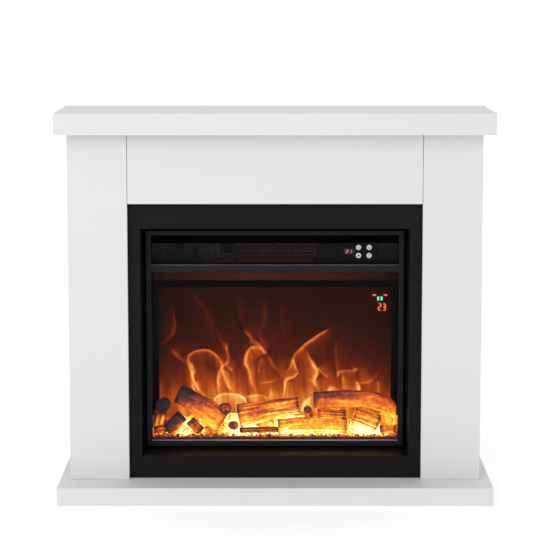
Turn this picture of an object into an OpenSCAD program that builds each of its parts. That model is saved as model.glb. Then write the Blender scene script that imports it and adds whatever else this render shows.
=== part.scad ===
// Electric fireplace suite: a flat-pack surround with a slim fan-heater fire set into a black recess.
// Millimetres. X runs left to right, the front faces -Y, Z is up, and the origin is the middle of the
// footprint at floor level.

/* [Overall] */
// Width of the mantel shelf and of the hearth
overall_w = 1000; // [900:1:1300]
// Height from the floor to the top of the mantel shelf
overall_h = 898; // [850:1:1100]
// Depth of the hearth, from its front edge to the wall
overall_d = 302; // [285:1:380]

/* [Surround] */
// Thickness of the hearth
hearth_t = 42; // [34:1:60]
// Thickness of the mantel shelf
mantel_t = 49; // [40:1:70]
// How far the mantel's front edge stands behind the hearth's
mantel_setback = 28; // [0:1:40]
// How far the pilasters stand behind the hearth's front edge
pilaster_setback = 80; // [60:1:90]
// How far the mantel and the hearth pass the side panels
side_overhang = 24.5; // [10:0.5:40]
// Width of each pilaster
pilaster_w = 136.5; // [110:0.5:170]
// Height of the header panel
header_h = 162; // [120:1:200]
// Thickness of the white boards
board_t = 15; // [12:1:18]
// Thickness of the mantel's underside board
soffit_t = 9; // [6:1:12]
// Open joint between the header and each pilaster
groove_w = 1; // [0.5:0.1:3]

/* [Recess] */
// Thickness of the black boards
inner_t = 12; // [9:1:16]
// Visible width of the black board at each side
reveal_side = 28.5; // [20:0.5:40]
// Visible height of the black board at the top
reveal_top = 59; // [40:1:80]
// Height of the recess floor above the hearth
reveal_bottom = 53; // [40:1:80]
// Depth of the notch in the bottom board
notch_d = 28.5; // [10:0.5:40]
// Depth from the black boards' face to the fire's face
recess_d = 71; // [50:1:76]
// How far the black boards lap behind the pilasters and the header
lap = 35; // [20:1:60]

/* [Fire] */
// Clearance from the fire's frame to the recess at each side
fire_gap_side = 8; // [4:0.5:12]
// Clearance from the fire's frame to the recess at the bottom
fire_gap_bottom = 5.7; // [4:0.1:8]
// Clearance from the fire's frame to the recess at the top
fire_gap_top = 13.5; // [8:0.5:20]
// Width of the frame's side bars
bar_side = 12.6; // [10:0.1:20]
// Height of the frame's top bar
bar_top = 11; // [8:0.5:20]
// Height of the frame's bottom bar
bar_bottom = 13.8; // [12:0.1:20]
// Height of the bar between the outlet bay and the window
bar_middle = 17.7; // [14:0.1:25]
// Height of the warm-air outlet bay
bay_h = 69.7; // [58:0.1:90]
// Depth of the outlet bay, from the frame's face to the grille
bay_d = 25; // [18:1:30]
// Depth of the front frame
frame_t = 10; // [6:0.5:14]
// Thickness of the glass
glass_t = 4; // [3:0.5:5]
// Thickness of the case's sheet steel
sheet_t = 1; // [0.8:0.1:1.5]
// Depth of the ember bed's front edge behind the glass
bed_gap = 3; // [2:0.5:8]
// Gap between the case's back and the wall
wall_gap = 13; // [12:1:30]
// Depth from the frame's face to the flame screen
screen_depth = 73; // [66:1:76]

/* [Controls] */
// Width of the control fascia
fascia_w = 88; // [80:1:100]
// Height of the control fascia
fascia_h = 41; // [38:1:48]
// Distance from the control fascia to the right end of the outlet bay
fascia_inset = 50; // [20:1:80]
// Distance between the two columns of buttons
button_pitch_x = 25; // [20:0.5:26]
// Distance between the two rows of buttons
button_pitch_z = 19; // [18:0.5:20]
// Radius of a button's cap
button_r = 6.3; // [4:0.1:7.6]
// Radial clearance of a cap in the fascia
button_clear = 0.25; // [0.15:0.05:0.5]
// Travel of a button
button_travel = 0.8; // [0.4:0.1:1.2]

/* [Works] */
// Radius of the blower wheel
wheel_r = 19; // [15:0.1:23]
// Length of the blower wheel
wheel_l = 180; // [120:1:190]
// Number of blades on the blower wheel
blades = 22; // [12:1:30]
// Radius of the blower's shaft
shaft_r = 2; // [1.5:0.1:3]
// Radius of the flame spindle's rod
rod_r = 3; // [2:0.1:4]
// Radial running clearance of the shafts
running = 0.06; // [0.02:0.01:0.1]
// Radius of the bore for a mains cord
gland_r = 3.8; // [3:0.1:5]
// Distance of that bore from the fire's middle line, towards the left end
gland_offset = 230; // [180:1:240]
// Radius of the wall bracket's screw hole
wall_hole_r = 2.75; // [2:0.05:4]
// Distance between the wall brackets' holes
wall_hole_spacing = 600; // [400:10:700]

/* [Hidden] */
$fn = 48;
// Solids that become one sink into each other by this much
sink = 0.01;

white = [0.86, 0.86, 0.86];
black = [0.03, 0.03, 0.03];
steel = [0.62, 0.63, 0.65];
dark_steel = [0.06, 0.06, 0.08];

// Surround: planes and edges
front_y = -overall_d / 2;
back_y = overall_d / 2;
mantel_y = front_y + mantel_setback;
face_y = front_y + pilaster_setback;
body_x = overall_w / 2 - side_overhang;
body_in_x = body_x - board_t;
open_x = body_x - pilaster_w;
top_z = overall_h - mantel_t;
header_z = top_z - header_h;

// Recess: planes and edges
inner_y = face_y + board_t;
inner_back_y = inner_y + inner_t;
lap_x = open_x + lap;
recess_x = open_x - reveal_side;
recess_z0 = hearth_t + reveal_bottom;
recess_z1 = header_z - reveal_top;
shelf_z = recess_z0 - inner_t;

// Fire: planes and edges
flange_t = 1.2;
fire_y = inner_y + recess_d;
flange_y = fire_y + frame_t;
case_y0 = flange_y + flange_t;
case_y1 = back_y - wall_gap;
fire_x = recess_x - fire_gap_side;
fire_z0 = recess_z0 + fire_gap_bottom;
fire_z1 = recess_z1 - fire_gap_top;
win_x = fire_x - bar_side;
bay_z1 = fire_z1 - bar_top;
bay_z0 = bay_z1 - bay_h;
win_z1 = bay_z0 - bar_middle;
win_z0 = fire_z0 + bar_bottom;
case_inset = 2.5;
case_x = fire_x - 2 * case_inset;
case_in_x = case_x - sheet_t;
case_z0 = fire_z0 + case_inset;
case_z1 = fire_z1 - case_inset;
floor_z = case_z0 + sheet_t;
deck_drop = 4;
deck_z = bay_z0 - deck_drop;
deck_top_z = deck_z + sheet_t;
grille_y = fire_y + bay_d;
glass_y = case_y0;
glass_back_y = glass_y + glass_t;
screen_y = fire_y + screen_depth;
screen_t = 2;
mask_t = 2;
mask_y = screen_y - mask_t;
bed_y0 = glass_back_y + bed_gap;
bed_rise = 4;
bed_z = win_z0 + bed_rise;

// A block between two opposite corners.
module block(a, b) {
    translate(a) cube(b - a);
}

// A flat plate whose outline is drawn in X and Z, from y to y + t.
module plate_y(y, t) {
    translate([0, y + t, 0]) rotate([90, 0, 0]) linear_extrude(t) children();
}

// An outline drawn in Y and Z, run along X from x to x + l.
module run_x(x, l) {
    translate([x, 0, 0]) rotate([90, 0, 90]) linear_extrude(l) children();
}

// A rectangle between two opposite corners.
module rect(a, b) {
    translate(a) square(b - a);
}

// A cylinder along X from x0 to x1.
module bar_x(x0, x1, y, z, r) {
    translate([x0, y, z]) rotate([0, 90, 0]) cylinder(r = r, h = x1 - x0);
}

// A cylinder along Y from y0 to y1.
module bar_y(y0, y1, x, z, r) {
    translate([x, y0, z]) rotate([-90, 0, 0]) cylinder(r = r, h = y1 - y0);
}

// A bar with flats, such as a hewn log, between two points.
module limb(p, q, r) {
    v = q - p;
    l = norm(v);
    translate(p) rotate([0, acos(v.z / l), atan2(v.y, v.x)]) cylinder(r = r, h = l, $fn = log_flats);
}

// The same shape on both sides of the middle line.
module both_sides() {
    children();
    mirror([1, 0, 0]) children();
}

// The place of item i when n of them stand in a row, a pitch apart, about the middle.
function in_row(i, n, pitch) = (i - (n - 1) / 2) * pitch;

/* ---- Surround ---- */

// One board folded down at the front and the sides, open underneath and at the back.
module hearth_board() {
    color(white) difference() {
        block([-overall_w / 2, front_y, 0], [overall_w / 2, back_y, hearth_t]);
        block([-overall_w / 2 + board_t, front_y + board_t, -1],
              [overall_w / 2 - board_t, back_y + 1, hearth_t - board_t]);
    }
}

rib_t = 12;
rib_n = 4;
rib_back_gap = 5;
rib_pitch = (overall_w - 2 * board_t) / (rib_n + 1);
module hearth_ribs() {
    color("burlywood") for (i = [0 : rib_n - 1]) translate([in_row(i, rib_n, rib_pitch), 0, 0])
        block([-rib_t / 2, front_y + board_t, 0], [rib_t / 2, back_y - rib_back_gap, hearth_t - board_t]);
}

// One board folded down all round, closed from below by the soffit.
module mantel_shelf() {
    color(white) difference() {
        block([-overall_w / 2, mantel_y, top_z], [overall_w / 2, back_y, overall_h]);
        block([-overall_w / 2 + board_t, mantel_y + board_t, top_z - 1],
              [overall_w / 2 - board_t, back_y - board_t, overall_h - board_t]);
    }
}

module mantel_soffit() {
    color(white) block([-overall_w / 2 + board_t, mantel_y + board_t, top_z],
                       [overall_w / 2 - board_t, back_y - board_t, top_z + soffit_t]);
}

// The front board of a leg, mitred to its side panel.
module pilaster() {
    translate([0, 0, hearth_t]) linear_extrude(top_z - hearth_t)
        polygon([[-body_x, face_y], [-open_x, face_y], [-open_x, inner_y], [-body_in_x, inner_y]]);
}

module side_panel() {
    translate([0, 0, hearth_t]) linear_extrude(top_z - hearth_t)
        polygon([[-body_x, face_y], [-body_in_x, inner_y], [-body_in_x, back_y], [-body_x, back_y]]);
}

module left_pilaster() { color(white) pilaster(); }
module right_pilaster() { color(white) mirror([1, 0, 0]) pilaster(); }
module left_side_panel() { color(white) side_panel(); }
module right_side_panel() { color(white) mirror([1, 0, 0]) side_panel(); }

module header_panel() {
    color(white) block([-open_x + groove_w, face_y, header_z], [open_x - groove_w, inner_y, top_z]);
}

module inner_top_board() {
    color(black) block([-lap_x, inner_y, recess_z1], [lap_x, inner_back_y, header_z + lap]);
}

module inner_side_boards() {
    color(black) both_sides()
        block([recess_x, inner_y, recess_z0 + notch_d], [lap_x, inner_back_y, recess_z1]);
}

// The bottom board, notched so that the recess floor lies lower than its ends.
module inner_bottom_board() {
    color(black) plate_y(inner_y, inner_t) difference() {
        rect([-lap_x, hearth_t], [lap_x, recess_z0 + notch_d]);
        rect([-recess_x, recess_z0], [recess_x, recess_z0 + notch_d + 1]);
    }
}

module top_return() {
    color(black) block([-recess_x - inner_t, inner_back_y, recess_z1],
                       [recess_x + inner_t, flange_y, recess_z1 + inner_t]);
}

module side_returns() {
    color(black) both_sides()
        block([recess_x, inner_back_y, recess_z0], [recess_x + inner_t, flange_y, recess_z1]);
}

// The recess floor, which runs back under the fire and carries it.
shelf_back_gap = 18;
module support_shelf() {
    color(black) block([-lap_x, inner_back_y, shelf_z], [lap_x, back_y - shelf_back_gap, recess_z0]);
}

bearer_x = 240;
bearer_inset = 20;
module shelf_bearers() {
    color("burlywood") both_sides()
        block([bearer_x, inner_back_y + bearer_inset, hearth_t],
              [bearer_x + board_t, back_y - shelf_back_gap - bearer_inset, shelf_z]);
}

bracket_t = 2;
rail_h = 80;
foot_rail_h = 34;
rail_y = back_y - bracket_t;
rail_z = top_z - rail_h;
module rear_rails() {
    color("burlywood") for (z = [[hearth_t, hearth_t + foot_rail_h], [rail_z, top_z]])
        block([-body_in_x, rail_y - board_t, z[0]], [body_in_x, rail_y, z[1]]);
}

// Assembly blocks in the corners of the legs, each with one hole across and one up. A screw's place
// in its block is the same for both: one value along the block and one across it.
block_s = 22;
block_near = 7;
block_far = 15;
block_hole_r = 2.2;
block_front_gap = 14;
block_rear_gap = 12;
block_front_y = inner_back_y + block_front_gap;
block_rear_y = rail_y - board_t - block_s - block_rear_gap;
module at_blocks() {
    both_sides() for (y = [block_front_y, block_rear_y]) {
        translate([body_in_x - block_s, y, hearth_t]) children();
        translate([body_in_x - block_s, y, top_z]) mirror([0, 0, 1]) children();
    }
}

module corner_blocks() {
    color("ivory") at_blocks() difference() {
        cube(block_s);
        bar_x(-1, block_s + 1, block_near, block_far, block_hole_r);
        translate([block_near, block_far, -1]) cylinder(r = block_hole_r, h = block_s + 2);
    }
}

// Chipboard screws: two in each assembly block and two in each wall bracket.
screw_r = 1.9;
screw_head_r = 3.8;
screw_head_h = 2;
screw_bite = 7;
bracket_screw_pitch = 16;
bracket_screw_l = 14;
bracket_screw_drop = 12;
bracket_lap = 40;
bracket_screw_z = rail_z + bracket_lap - bracket_screw_drop;
function bracket_screw_x(i) = wall_hole_spacing / 2 + in_row(i, 2, bracket_screw_pitch);
module wood_screws() {
    color(steel) {
        at_blocks() {
            bar_x(0, block_s + screw_bite, block_near, block_far, screw_r);
            bar_x(-screw_head_h, 0, block_near, block_far, screw_head_r);
            translate([block_near, block_far, -screw_bite]) cylinder(r = screw_r, h = block_s + screw_bite);
            translate([block_near, block_far, block_s]) cylinder(r = screw_head_r, h = screw_head_h);
        }
        both_sides() for (i = [0, 1])
            bar_y(back_y - bracket_screw_l, back_y, bracket_screw_x(i), bracket_screw_z, screw_r);
    }
}

// Steel straps on the back of the top rail: the wall screw's hole hangs below the rail.
bracket_w = 30;
bracket_drop = 24;
wall_hole_z = rail_z - bracket_drop / 2;
module wall_brackets() {
    color(steel) both_sides() plate_y(rail_y, bracket_t) difference() {
        rect([wall_hole_spacing / 2 - bracket_w / 2, rail_z - bracket_drop],
             [wall_hole_spacing / 2 + bracket_w / 2, rail_z + bracket_lap]);
        translate([wall_hole_spacing / 2, wall_hole_z]) circle(r = wall_hole_r);
        for (i = [0, 1]) translate([bracket_screw_x(i), bracket_screw_z]) circle(r = screw_r);
    }
}

/* ---- Fire: front ---- */

// The outlet bay and the window, as two outlines.
module front_openings() {
    rect([-win_x, bay_z0], [win_x, bay_z1]);
    rect([-win_x, win_z0], [win_x, win_z1]);
}

// Flat sheet flange that closes the gap between the frame and the recess.
module mounting_flange() {
    color(black) plate_y(flange_y, flange_t) difference() {
        rect([-recess_x - inner_t, recess_z0], [recess_x + inner_t, recess_z1 + inner_t]);
        front_openings();
    }
}

module front_frame() {
    color(dark_steel) plate_y(fire_y, frame_t) difference() {
        rect([-fire_x, fire_z0], [fire_x, fire_z1]);
        front_openings();
    }
}

glass_edge = 3;
glass_x = win_x + glass_edge;
module glass_pane() {
    color("lightblue", 0.3)
        block([-glass_x, glass_y, win_z0 - glass_edge], [glass_x, glass_back_y, win_z1 + glass_edge]);
}

// Sheet clips that hold the glass to the case's sides.
clip_h = 18;
clip_t = 1.2;
clip_lap = 6;
clip_n = 3;
module glass_clips() {
    pitch = (win_z1 - win_z0) / clip_n;
    color(steel) both_sides() for (i = [0 : clip_n - 1])
        translate([0, 0, (win_z0 + win_z1) / 2 + in_row(i, clip_n, pitch) - clip_h / 2])
            linear_extrude(clip_h) polygon([[case_in_x, glass_y], [case_in_x, glass_back_y + clip_t],
                [glass_x - clip_lap, glass_back_y + clip_t], [glass_x - clip_lap, glass_back_y],
                [glass_x, glass_back_y], [glass_x, glass_y]]);
}

// Sheet tube between the flange and the grille.
module bay_liner() {
    color(black) plate_y(case_y0, grille_y + sheet_t - case_y0) difference() {
        rect([-win_x - sheet_t, bay_z0 - sheet_t], [win_x + sheet_t, bay_z1 + sheet_t]);
        rect([-win_x, bay_z0], [win_x, bay_z1]);
    }
}

// Control fascia: place
fascia_x = win_x - fascia_inset - fascia_w / 2;
fascia_rise = 0.427;
fascia_z = bay_z0 + fascia_rise * bay_h;
module fascia_outline(inset) {
    translate([fascia_x, fascia_z]) square([fascia_w - 2 * inset, fascia_h - 2 * inset], center = true);
}

slot_rows = 12;
slot_columns = 9;
slot_h = 2.4;
slot_bridge = 6;
grille_edge = 4;
// Slotted sheet with a cut-out that the control fascia passes through.
module outlet_grille() {
    pitch_x = 2 * (win_x - grille_edge) / slot_columns;
    pitch_z = (bay_h - 2 * grille_edge) / slot_rows;
    color(dark_steel) plate_y(grille_y, sheet_t) difference() {
        rect([-win_x, bay_z0], [win_x, bay_z1]);
        translate([0, (bay_z0 + bay_z1) / 2])
            for (i = [0 : slot_columns - 1], j = [0 : slot_rows - 1])
                translate([in_row(i, slot_columns, pitch_x), in_row(j, slot_rows, pitch_z)])
                    square([pitch_x - slot_bridge, slot_h], center = true);
        fascia_outline(0);
    }
}

/* ---- Fire: controls ---- */

fascia_proud = 9;
fascia_y = grille_y - fascia_proud;
fascia_wall = 2;
board_gap = 6;
board_y = grille_y + board_gap;
window_w = 24;
window_h = 12;
window_shift = 22;
window_x = fascia_x - window_shift;
buttons_x = fascia_x + button_pitch_x / 2;

// Its children at one button: column 0 or 1 from the left, row 0 or 1 from below.
module at_button(column, row) {
    translate([buttons_x + in_row(column, 2, button_pitch_x), 0,
               fascia_z + in_row(row, 2, button_pitch_z)]) children();
}

// Hollow moulding, open at the back, with a hole for each button and a window for the digits.
module control_fascia() {
    color(black) difference() {
        plate_y(fascia_y, board_y - fascia_y) fascia_outline(0);
        plate_y(fascia_y + fascia_wall, board_y) fascia_outline(fascia_wall);
        for (c = [0, 1], r = [0, 1]) at_button(c, r)
            bar_y(fascia_y - 1, fascia_y + fascia_wall + 1, 0, 0, button_r + button_clear);
        plate_y(fascia_y - 1, fascia_wall + 2)
            translate([window_x, fascia_z]) square([window_w, window_h], center = true);
    }
}

// The switches stand on the circuit board behind the fascia.
switch_w = 6;
switch_h = 3.5;
plunger_r = 1.75;
plunger_h = 0.9;
plunger_y = board_y - switch_h - plunger_h;

// Cap, collar behind the fascia, and the stem that works the switch.
cap_proud = 1.5;
collar_rim = 1.3;
collar_t = 1.2;
collar_gap = 0.3;
stem_r = 2;
stem_gap = 0.2;
module button() {
    collar_y = fascia_y + fascia_wall + collar_gap;
    bar_y(fascia_y - cap_proud, collar_y + sink, 0, 0, button_r);
    bar_y(collar_y, collar_y + collar_t, 0, 0, button_r + collar_rim);
    bar_y(collar_y, plunger_y - button_travel - stem_gap, 0, 0, stem_r);
}

module button_power() { color("silver") at_button(0, 1) button(); }
module button_heat() { color("silver") at_button(1, 1) button(); }
module button_flame() { color("silver") at_button(0, 0) button(); }
module button_timer() { color("silver") at_button(1, 0) button(); }

display_recess = 0.5;
module digit_display() {
    color("firebrick") plate_y(fascia_y + display_recess, board_y - fascia_y - display_recess)
        translate([window_x, fascia_z]) square([window_w, window_h], center = true);
}

// Circuit board across the fascia's back, with its switches, a chip and a plug socket.
circuit_t = 1.6;
chip = [16, 1.6, 16];
socket = [12, 3, 6];
module control_board() {
    color("darkgreen") {
        plate_y(board_y, circuit_t) fascia_outline(0);
        for (c = [0, 1], r = [0, 1]) at_button(c, r) {
            block([-switch_w / 2, board_y - switch_h, -switch_w / 2],
                  [switch_w / 2, board_y + sink, switch_w / 2]);
            bar_y(plunger_y, board_y - switch_h + sink, 0, 0, plunger_r);
        }
        translate([fascia_x, board_y + circuit_t - sink, fascia_z]) {
            translate([-chip.x - socket.x, 0, -chip.z / 2]) cube(chip);
            translate([0, 0, -socket.z / 2]) cube(socket);
        }
    }
}

// Light module behind the flame screen, upper right.
status_w = 40;
status_h = 48;
status_t = 6;
status_inset = 20;
status_drop = 58;
module status_display() {
    back = screen_y + screen_t;
    side = win_x - status_inset;
    color(black) block([side - status_w, back, win_z1 - status_drop - status_h],
                       [side, back + status_t, win_z1 - status_drop]);
}

/* ---- Fire: case ---- */

module case_bottom() {
    color(steel) block([-case_x, case_y0, case_z0], [case_x, case_y1 - sheet_t, floor_z]);
}

module case_sides() {
    color(steel) both_sides()
        block([case_in_x, case_y0, floor_z], [case_x, case_y1 - sheet_t, case_z1 - sheet_t]);
}

module case_top() {
    color(steel) block([-case_x, case_y0, case_z1 - sheet_t], [case_x, case_y1 - sheet_t, case_z1]);
}

// Blower: place
wheel_gap = 4;
scroll_r = wheel_r + wheel_gap;
scroll_back_gap = 8;
wheel_y = case_y1 - sheet_t - scroll_back_gap - scroll_r;
wheel_z = (bay_z0 + bay_z1) / 2;

gland_body_r = gland_r + 3.2;
gland_x = -gland_offset;
gland_drop = 8;
gland_z = wheel_z - gland_drop;
inlet_pitch = 20;
inlet_slot = [14, 12];
inlet_n = 13;
inlet_gap = 12;
// Back sheet with two rows of inlet slots behind the blower and the hole for the cable gland.
module rear_cover() {
    color(steel) plate_y(case_y1 - sheet_t, sheet_t) difference() {
        rect([-case_x, case_z0], [case_x, case_z1]);
        for (i = [0 : inlet_n - 1], j = [0, 1])
            translate([in_row(i, inlet_n, inlet_pitch), wheel_z + in_row(j, 2, inlet_slot.y + inlet_gap)])
                square(inlet_slot, center = true);
        translate([gland_x, gland_z]) circle(r = gland_body_r);
    }
}

foot_r = 10;
foot_x = 250;
foot_inset = 20;
module case_feet() {
    color("dimgray") both_sides() for (y = [case_y0 + foot_inset, case_y1 - foot_inset])
        translate([foot_x, y, recess_z0]) cylinder(r = foot_r, h = case_z0 - recess_z0);
}

// Pan-head screws round the rear cover.
case_screw_r = 3.2;
case_screw_h = 2;
case_screw_inset = 7;
case_screw_pitch = 117;
module case_screws() {
    color("silver") for (i = [0 : 5], z = [case_z0 + case_screw_inset, case_z1 - case_screw_inset])
        bar_y(case_y1, case_y1 + case_screw_h, in_row(i, 6, case_screw_pitch), z, case_screw_r);
}

// Nylon bush for the mains cord, through the rear cover.
gland_rim = 3.5;
gland_rim_t = 3;
gland_out = 8;
gland_in = 6;
module cable_gland() {
    color(black) difference() {
        union() {
            bar_y(case_y1 - sheet_t - gland_in, case_y1 + gland_out, gland_x, gland_z, gland_body_r);
            bar_y(case_y1, case_y1 + gland_rim_t, gland_x, gland_z, gland_body_r + gland_rim);
        }
        bar_y(case_y1 - 2 * gland_in, case_y1 + 2 * gland_out, gland_x, gland_z, gland_r);
    }
}

/* ---- Fire: heater ---- */

// Sheet deck under the heater, its front edge folded down behind the glass as a bright strip.
deck_lip_h = 34;
deck_lip_gap = 2;
module heater_deck() {
    lip_y = glass_back_y + deck_lip_gap;
    color("peru") run_x(-case_in_x, 2 * case_in_x)
        polygon([[lip_y, deck_top_z], [lip_y, deck_z - deck_lip_h], [lip_y + sheet_t, deck_z - deck_lip_h],
                 [lip_y + sheet_t, deck_z], [case_y1 - sheet_t, deck_z], [case_y1 - sheet_t, deck_top_z]]);
}

// The blower's duct in section: a round scroll and a straight throat, each a wall in from the outside.
duct_x = wheel_l / 2 + 10;
duct_gap = 5;
duct_y0 = grille_y + sheet_t + duct_gap;
bush_r = 6;
module duct_section(wall) {
    translate([wheel_y, wheel_z]) circle(r = scroll_r - wall);
    rect([duct_y0 - wall, wheel_z - scroll_r + wall], [wheel_y, wheel_z + scroll_r - wall]);
}

// Sheet scroll round the wheel, open to the front and, between the end plates, to the rear.
inlet_h = 26;
duct_foot_w = 8;
module blower_housing() {
    in_x = duct_x - sheet_t;
    color(steel) {
        difference() {
            run_x(-duct_x, 2 * duct_x) duct_section(0);
            run_x(-in_x, 2 * in_x) duct_section(sheet_t);
            run_x(-in_x, 2 * in_x)
                rect([wheel_y + wheel_r / 2, wheel_z - inlet_h / 2],
                     [wheel_y + 2 * scroll_r, wheel_z + inlet_h / 2]);
            bar_x(-duct_x - 1, duct_x + 1, wheel_y, wheel_z, bush_r);
        }
        both_sides()
            block([in_x - duct_foot_w, duct_y0, deck_top_z], [in_x, wheel_y, wheel_z - scroll_r + sink]);
    }
}

element_gap = 12;
element_y = duct_y0 + element_gap;
element_t = 2;
element_h = 2 * (scroll_r - sheet_t);
element_x = duct_x - sheet_t;
element_rail = 4;
element_panes = 3;
// Mica frame across the duct, with three openings, that carries the heating wires.
module element_frame() {
    pitch = 2 * (element_x - element_rail) / element_panes;
    color("tan") translate([0, 0, wheel_z]) plate_y(element_y, element_t) difference() {
        square([2 * element_x, element_h], center = true);
        for (i = [0 : element_panes - 1]) translate([in_row(i, element_panes, pitch), 0])
            square([pitch - element_rail, element_h - 2 * element_rail], center = true);
    }
}

wire_n = 5;
wire_r = 0.9;
module heating_wires() {
    pitch = (element_h - 3 * element_rail) / (wire_n - 1);
    color("orangered") for (i = [0 : wire_n - 1])
        bar_x(-element_x + element_rail, element_x - element_rail, element_y - wire_r,
              wheel_z + in_row(i, wire_n, pitch), wire_r);
}

blade_w = 5;
blade_t = 0.7;
blade_lean = 28;
blade_rim = 0.5;
disc_t = 1.5;
hub_r = 5;
hub_l = 6;
// Drum of slanted blades between discs, with a hub at each end for the shaft.
module blower_wheel() {
    color("gainsboro") difference() {
        union() {
            for (x = [-wheel_l / 2, -disc_t / 2, wheel_l / 2 - disc_t])
                bar_x(x, x + disc_t, wheel_y, wheel_z, wheel_r);
            for (x = [-wheel_l / 2, wheel_l / 2 - hub_l]) bar_x(x, x + hub_l, wheel_y, wheel_z, hub_r);
            for (i = [0 : blades - 1]) translate([0, wheel_y, wheel_z]) rotate([i * 360 / blades, 0, 0])
                translate([0, 0, wheel_r - blade_w - blade_rim]) rotate([blade_lean, 0, 0])
                    block([-wheel_l / 2 + sink, -blade_t / 2, 0], [wheel_l / 2 - sink, blade_t / 2, blade_w]);
        }
        bar_x(-wheel_l, wheel_l, wheel_y, wheel_z, shaft_r);
    }
}

motor_x = duct_x + 18;
motor_l = 20;
motor_end = 8;
rotor_r = 12;
rotor_gap = 0.5;
shaft_end = 4;
module blower_shaft() {
    color("silver") {
        bar_x(-duct_x - motor_end, motor_x + motor_l + motor_end + shaft_end, wheel_y, wheel_z, shaft_r);
        bar_x(motor_x, motor_x + motor_l, wheel_y, wheel_z, rotor_r);
    }
}

stator_w = 40;
stator_below = 24;
stator_above = 28;
coil_w = 28;
coil_h = 16;
coil_out = 5;
coil_up = 2;
motor_foot_t = 1.5;
bearing_w = 20;
bearing_h = 10;
bearing_t = 2;
// Shaded-pole motor on a foot: laminated stator, its coil, and a bearing bracket on each end.
module blower_motor() {
    color("darkgoldenrod") difference() {
        union() {
            block([motor_x, wheel_y - stator_w / 2, wheel_z - stator_below],
                  [motor_x + motor_l, wheel_y + stator_w / 2, wheel_z + stator_above]);
            block([motor_x - coil_out, wheel_y - coil_w / 2, wheel_z + stator_above - coil_h],
                  [motor_x + motor_l + coil_out, wheel_y + coil_w / 2, wheel_z + stator_above + coil_up]);
            block([motor_x, wheel_y - bearing_w / 2, deck_top_z],
                  [motor_x + motor_l, wheel_y + bearing_w / 2, wheel_z - stator_below + sink]);
            block([motor_x - motor_end, wheel_y - stator_w / 2, deck_top_z],
                  [motor_x + motor_l + motor_end, wheel_y + stator_w / 2, deck_top_z + motor_foot_t]);
            for (x = [motor_x - motor_end, motor_x + motor_l + motor_end - bearing_t])
                block([x, wheel_y - bearing_w / 2, deck_top_z],
                      [x + bearing_t, wheel_y + bearing_w / 2, wheel_z + bearing_h]);
        }
        bar_x(motor_x - 1, motor_x + motor_l + 1, wheel_y, wheel_z, rotor_r + rotor_gap);
        bar_x(motor_x - 2 * motor_end, motor_x + motor_l + 2 * motor_end, wheel_y, wheel_z,
              shaft_r + running);
    }
}

// Flame spindle: place
spindle_y = (screen_y + screen_t + case_y1) / 2;
spindle_rise = 48;
spindle_z = floor_z + spindle_rise;
flame_motor_l = 26;
flame_motor_x = case_in_x - flame_motor_l;
spindle_end_gap = 34;
spindle_x = case_in_x - spindle_end_gap;

// Bushes: the blower's, in the housing's end plate, and the flame spindle's, on the case's side.
bush_l = 9;
bush_s = 18;
bush_in = 3;
bush_lap = 6;
module shaft_bushes() {
    color("ivory") {
        difference() {
            bar_x(-duct_x - bush_l + bush_in, -duct_x + bush_in, wheel_y, wheel_z, bush_r);
            bar_x(-duct_x - bush_l, -duct_x + bush_in + 1, wheel_y, wheel_z, shaft_r + running);
        }
        difference() {
            block([-case_in_x, spindle_y - bush_s / 2, spindle_z - bush_s / 2],
                  [-spindle_x + bush_lap, spindle_y + bush_s / 2, spindle_z + bush_s / 2]);
            bar_x(-spindle_x - 1, -spindle_x + bush_lap + 1, spindle_y, spindle_z, rod_r + running);
        }
    }
}

cutout_r = 8;
cutout_h = 7;
cutout_x = 40;
tab_x = 5;
tab = [0.8, 6, 5];
// Disc thermostat on the duct's roof, with its two tabs.
module thermal_cutout() {
    color("whitesmoke") translate([cutout_x, (duct_y0 + wheel_y) / 2, wheel_z + scroll_r]) {
        cylinder(r = cutout_r, h = cutout_h);
        for (x = [-tab_x, tab_x]) translate([x - tab.x / 2, -tab.y / 2, cutout_h - sink]) cube(tab);
    }
}

// Mains board on four posts, with two relays, a capacitor and a terminal block.
power_w = 110;
power_d = 60;
power_gap = 25;
post_h = 4;
post_r = 3;
post_in = 5;
relay = [20, 16, 16];
relay_place = [12, 30];
relay_pitch = 26;
can_place = [80, 42];
can_r = 8;
can_h = 26;
terminal_place = [66, 6];
terminal = [34, 12, 12];
module power_board() {
    top = post_h + circuit_t - sink;
    translate([-case_in_x + power_gap, grille_y + power_gap, deck_top_z]) {
        color("darkgreen") block([0, 0, post_h], [power_w, power_d, post_h + circuit_t]);
        color("dimgray") for (x = [post_in, power_w - post_in], y = [post_in, power_d - post_in])
            translate([x, y, 0]) cylinder(r = post_r, h = post_h + sink);
        color("royalblue") for (i = [0, 1])
            translate([relay_place.x + relay_pitch * i, relay_place.y, top]) cube(relay);
        color("dimgray") translate([can_place.x, can_place.y, top]) cylinder(r = can_r, h = can_h);
        color("seagreen") translate([terminal_place.x, terminal_place.y, top]) cube(terminal);
    }
}

/* ---- Fire: flames and fuel bed ---- */

module flame_screen() {
    color("saddlebrown") block([-case_in_x, screen_y, floor_z], [case_in_x, screen_y + screen_t, deck_z]);
}

mask_side = 19.5;
mask_top = 46;
// Black border on the front of the flame screen, open at the bottom.
module screen_mask() {
    color(black) plate_y(mask_y, mask_t) difference() {
        rect([-case_in_x, bed_z], [case_in_x, deck_z]);
        rect([-case_in_x + mask_side, bed_z - 1], [case_in_x - mask_side, win_z1 - mask_top]);
    }
}

bed_t = 3;
// Moulded tray over the lower light strip.
module ember_bed() {
    color("orangered") run_x(-case_in_x, 2 * case_in_x) difference() {
        rect([bed_y0, floor_z], [mask_y, bed_z]);
        rect([bed_y0 + bed_t, floor_z - 1], [mask_y - bed_t, bed_z - bed_t]);
    }
}

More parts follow.
